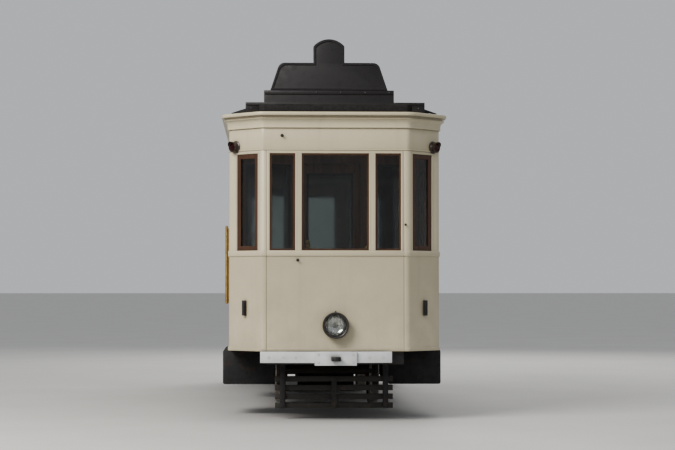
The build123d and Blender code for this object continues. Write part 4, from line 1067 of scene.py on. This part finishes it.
for i in range(control["screws"]):
    turn = math.radians(control["screwStart"] + control["screwTurn"] * i)
    drop(brassGear, screwHead(0.006, 0.004),
         at(control["screwCircle"] * math.cos(turn), control["screwCircle"] * math.sin(turn), 1.698))

# Handbrake staff with its crank
staff = turned([(0, 0.74), (0.075, 0.74), (0.075, 0.752), (0.035, 0.765), (0.024, 0.8), (0.0165, 0.84),
                (0.0165, 1.36), (0.024, 1.38), (0.024, 1.41), (0.0165, 1.43), (0.0165, 1.575),
                (0.026, 1.592), (0.026, 1.622), (0.016, 1.636), (0, 1.64)], 28)
crank = slab((-0.015, 0.015), (-0.195, 0.016), (1.602, 1.618), 0.006, 3)
drop(crank, turned([(0, 1.6), (0.016, 1.6), (0.012, 1.625), (0.018, 1.655), (0.02, 1.7),
                    (0.015, 1.728), (0, 1.734)], 24), at(y=-0.19))
controlPlace, brakePlace = at(0.26, 4.08), at(-0.33, 4.08)
for name, part, place, slotName, material, replaced in (
        ("controller_cases", case, controlPlace, "controller_enamel", controllerEnamel, ("controllers",)),
        ("controller_brasses", brassGear, controlPlace, "brass", brassMetal, ()),
        ("handbrake_staffs", staff, brakePlace, "black_iron", blackIron, ("handbrakes",)),
        ("handbrake_cranks", crank, brakePlace, "brass", brassMetal, ())):
    finishPiece(name, halfTurned(moved(part, place)), material, replaced)
print("inside fitted")


# Plain floor, soft light and the camera at the photograph's angle
def pointed(name, data, place, target):
    holder = bpy.data.objects.new(name, data)
    bpy.context.scene.collection.objects.link(holder)
    holder.location = place
    holder.rotation_mode = "QUATERNION"
    holder.rotation_quaternion = (Vector(target) - Vector(place)).to_track_quat("-Z", "Y")
    return holder


floorMesh = bpy.data.meshes.new("studio_floor")
ground = fresh()
bmesh.ops.create_grid(ground, x_segments=1, y_segments=1, size=400)
ground.to_mesh(floorMesh)
ground.free()
floorFinish = Finish("studioFloor", 0.75)
floorFinish.colour(floorFinish.clouded((0.56, 0.55, 0.53), (0.6, 0.59, 0.57), (0.7, 3.0), 0.3, 0.7))
floorFinish.bump(floorFinish.noise(60.0, 3.0), 0.1, 0.001)
floorMesh.materials.append(floorFinish.material)
studioFloor = bpy.data.objects.new("studio_floor", floorMesh)
bpy.context.scene.collection.objects.link(studioFloor)
studioFloor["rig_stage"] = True

world = bpy.data.worlds.new("studio_world")
world.use_nodes = True
world.node_tree.nodes["Background"].inputs["Color"].default_value = (0.8, 0.82, 0.85, 1.0)
world.node_tree.nodes["Background"].inputs["Strength"].default_value = 0.56
bpy.context.scene.world = world
# Name, place, aim, size, energy, tint
for name, place, target, (width, height), energy, tint in (
        ("key_light", (-7.5, -12.0, 9.5), (0, -3.0, 1.6), (7, 5), 1560, (1.0, 0.97, 0.92)),
        ("fill_light", (9.0, -10.0, 5.0), (0, -2.5, 1.5), (6, 5), 20, (0.92, 0.96, 1.0)),
        ("back_light", (3.0, 13.0, 9.0), (0, 2.0, 2.0), (8, 5), 700, (1.0, 0.98, 0.95))):
    light = bpy.data.lights.new(name, "AREA")
    light.shape = "RECTANGLE"
    light.size = width
    light.size_y = height
    light.energy = energy
    light.color = tint
    pointed(name, light, place, target)

cameraData = bpy.data.cameras.new("photo_camera")
cameraData.lens = 103
cameraData.sensor_width = 36
cameraData.clip_end = 900
bpy.context.scene.camera = pointed("photo_camera", cameraData, (-0.66, -23.3, 1.32), (0.02, -4.35, 1.93))
bpy.context.scene.view_settings.view_transform = "AgX"
bpy.context.scene.view_settings.look = "AgX - Medium High Contrast"

low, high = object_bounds()
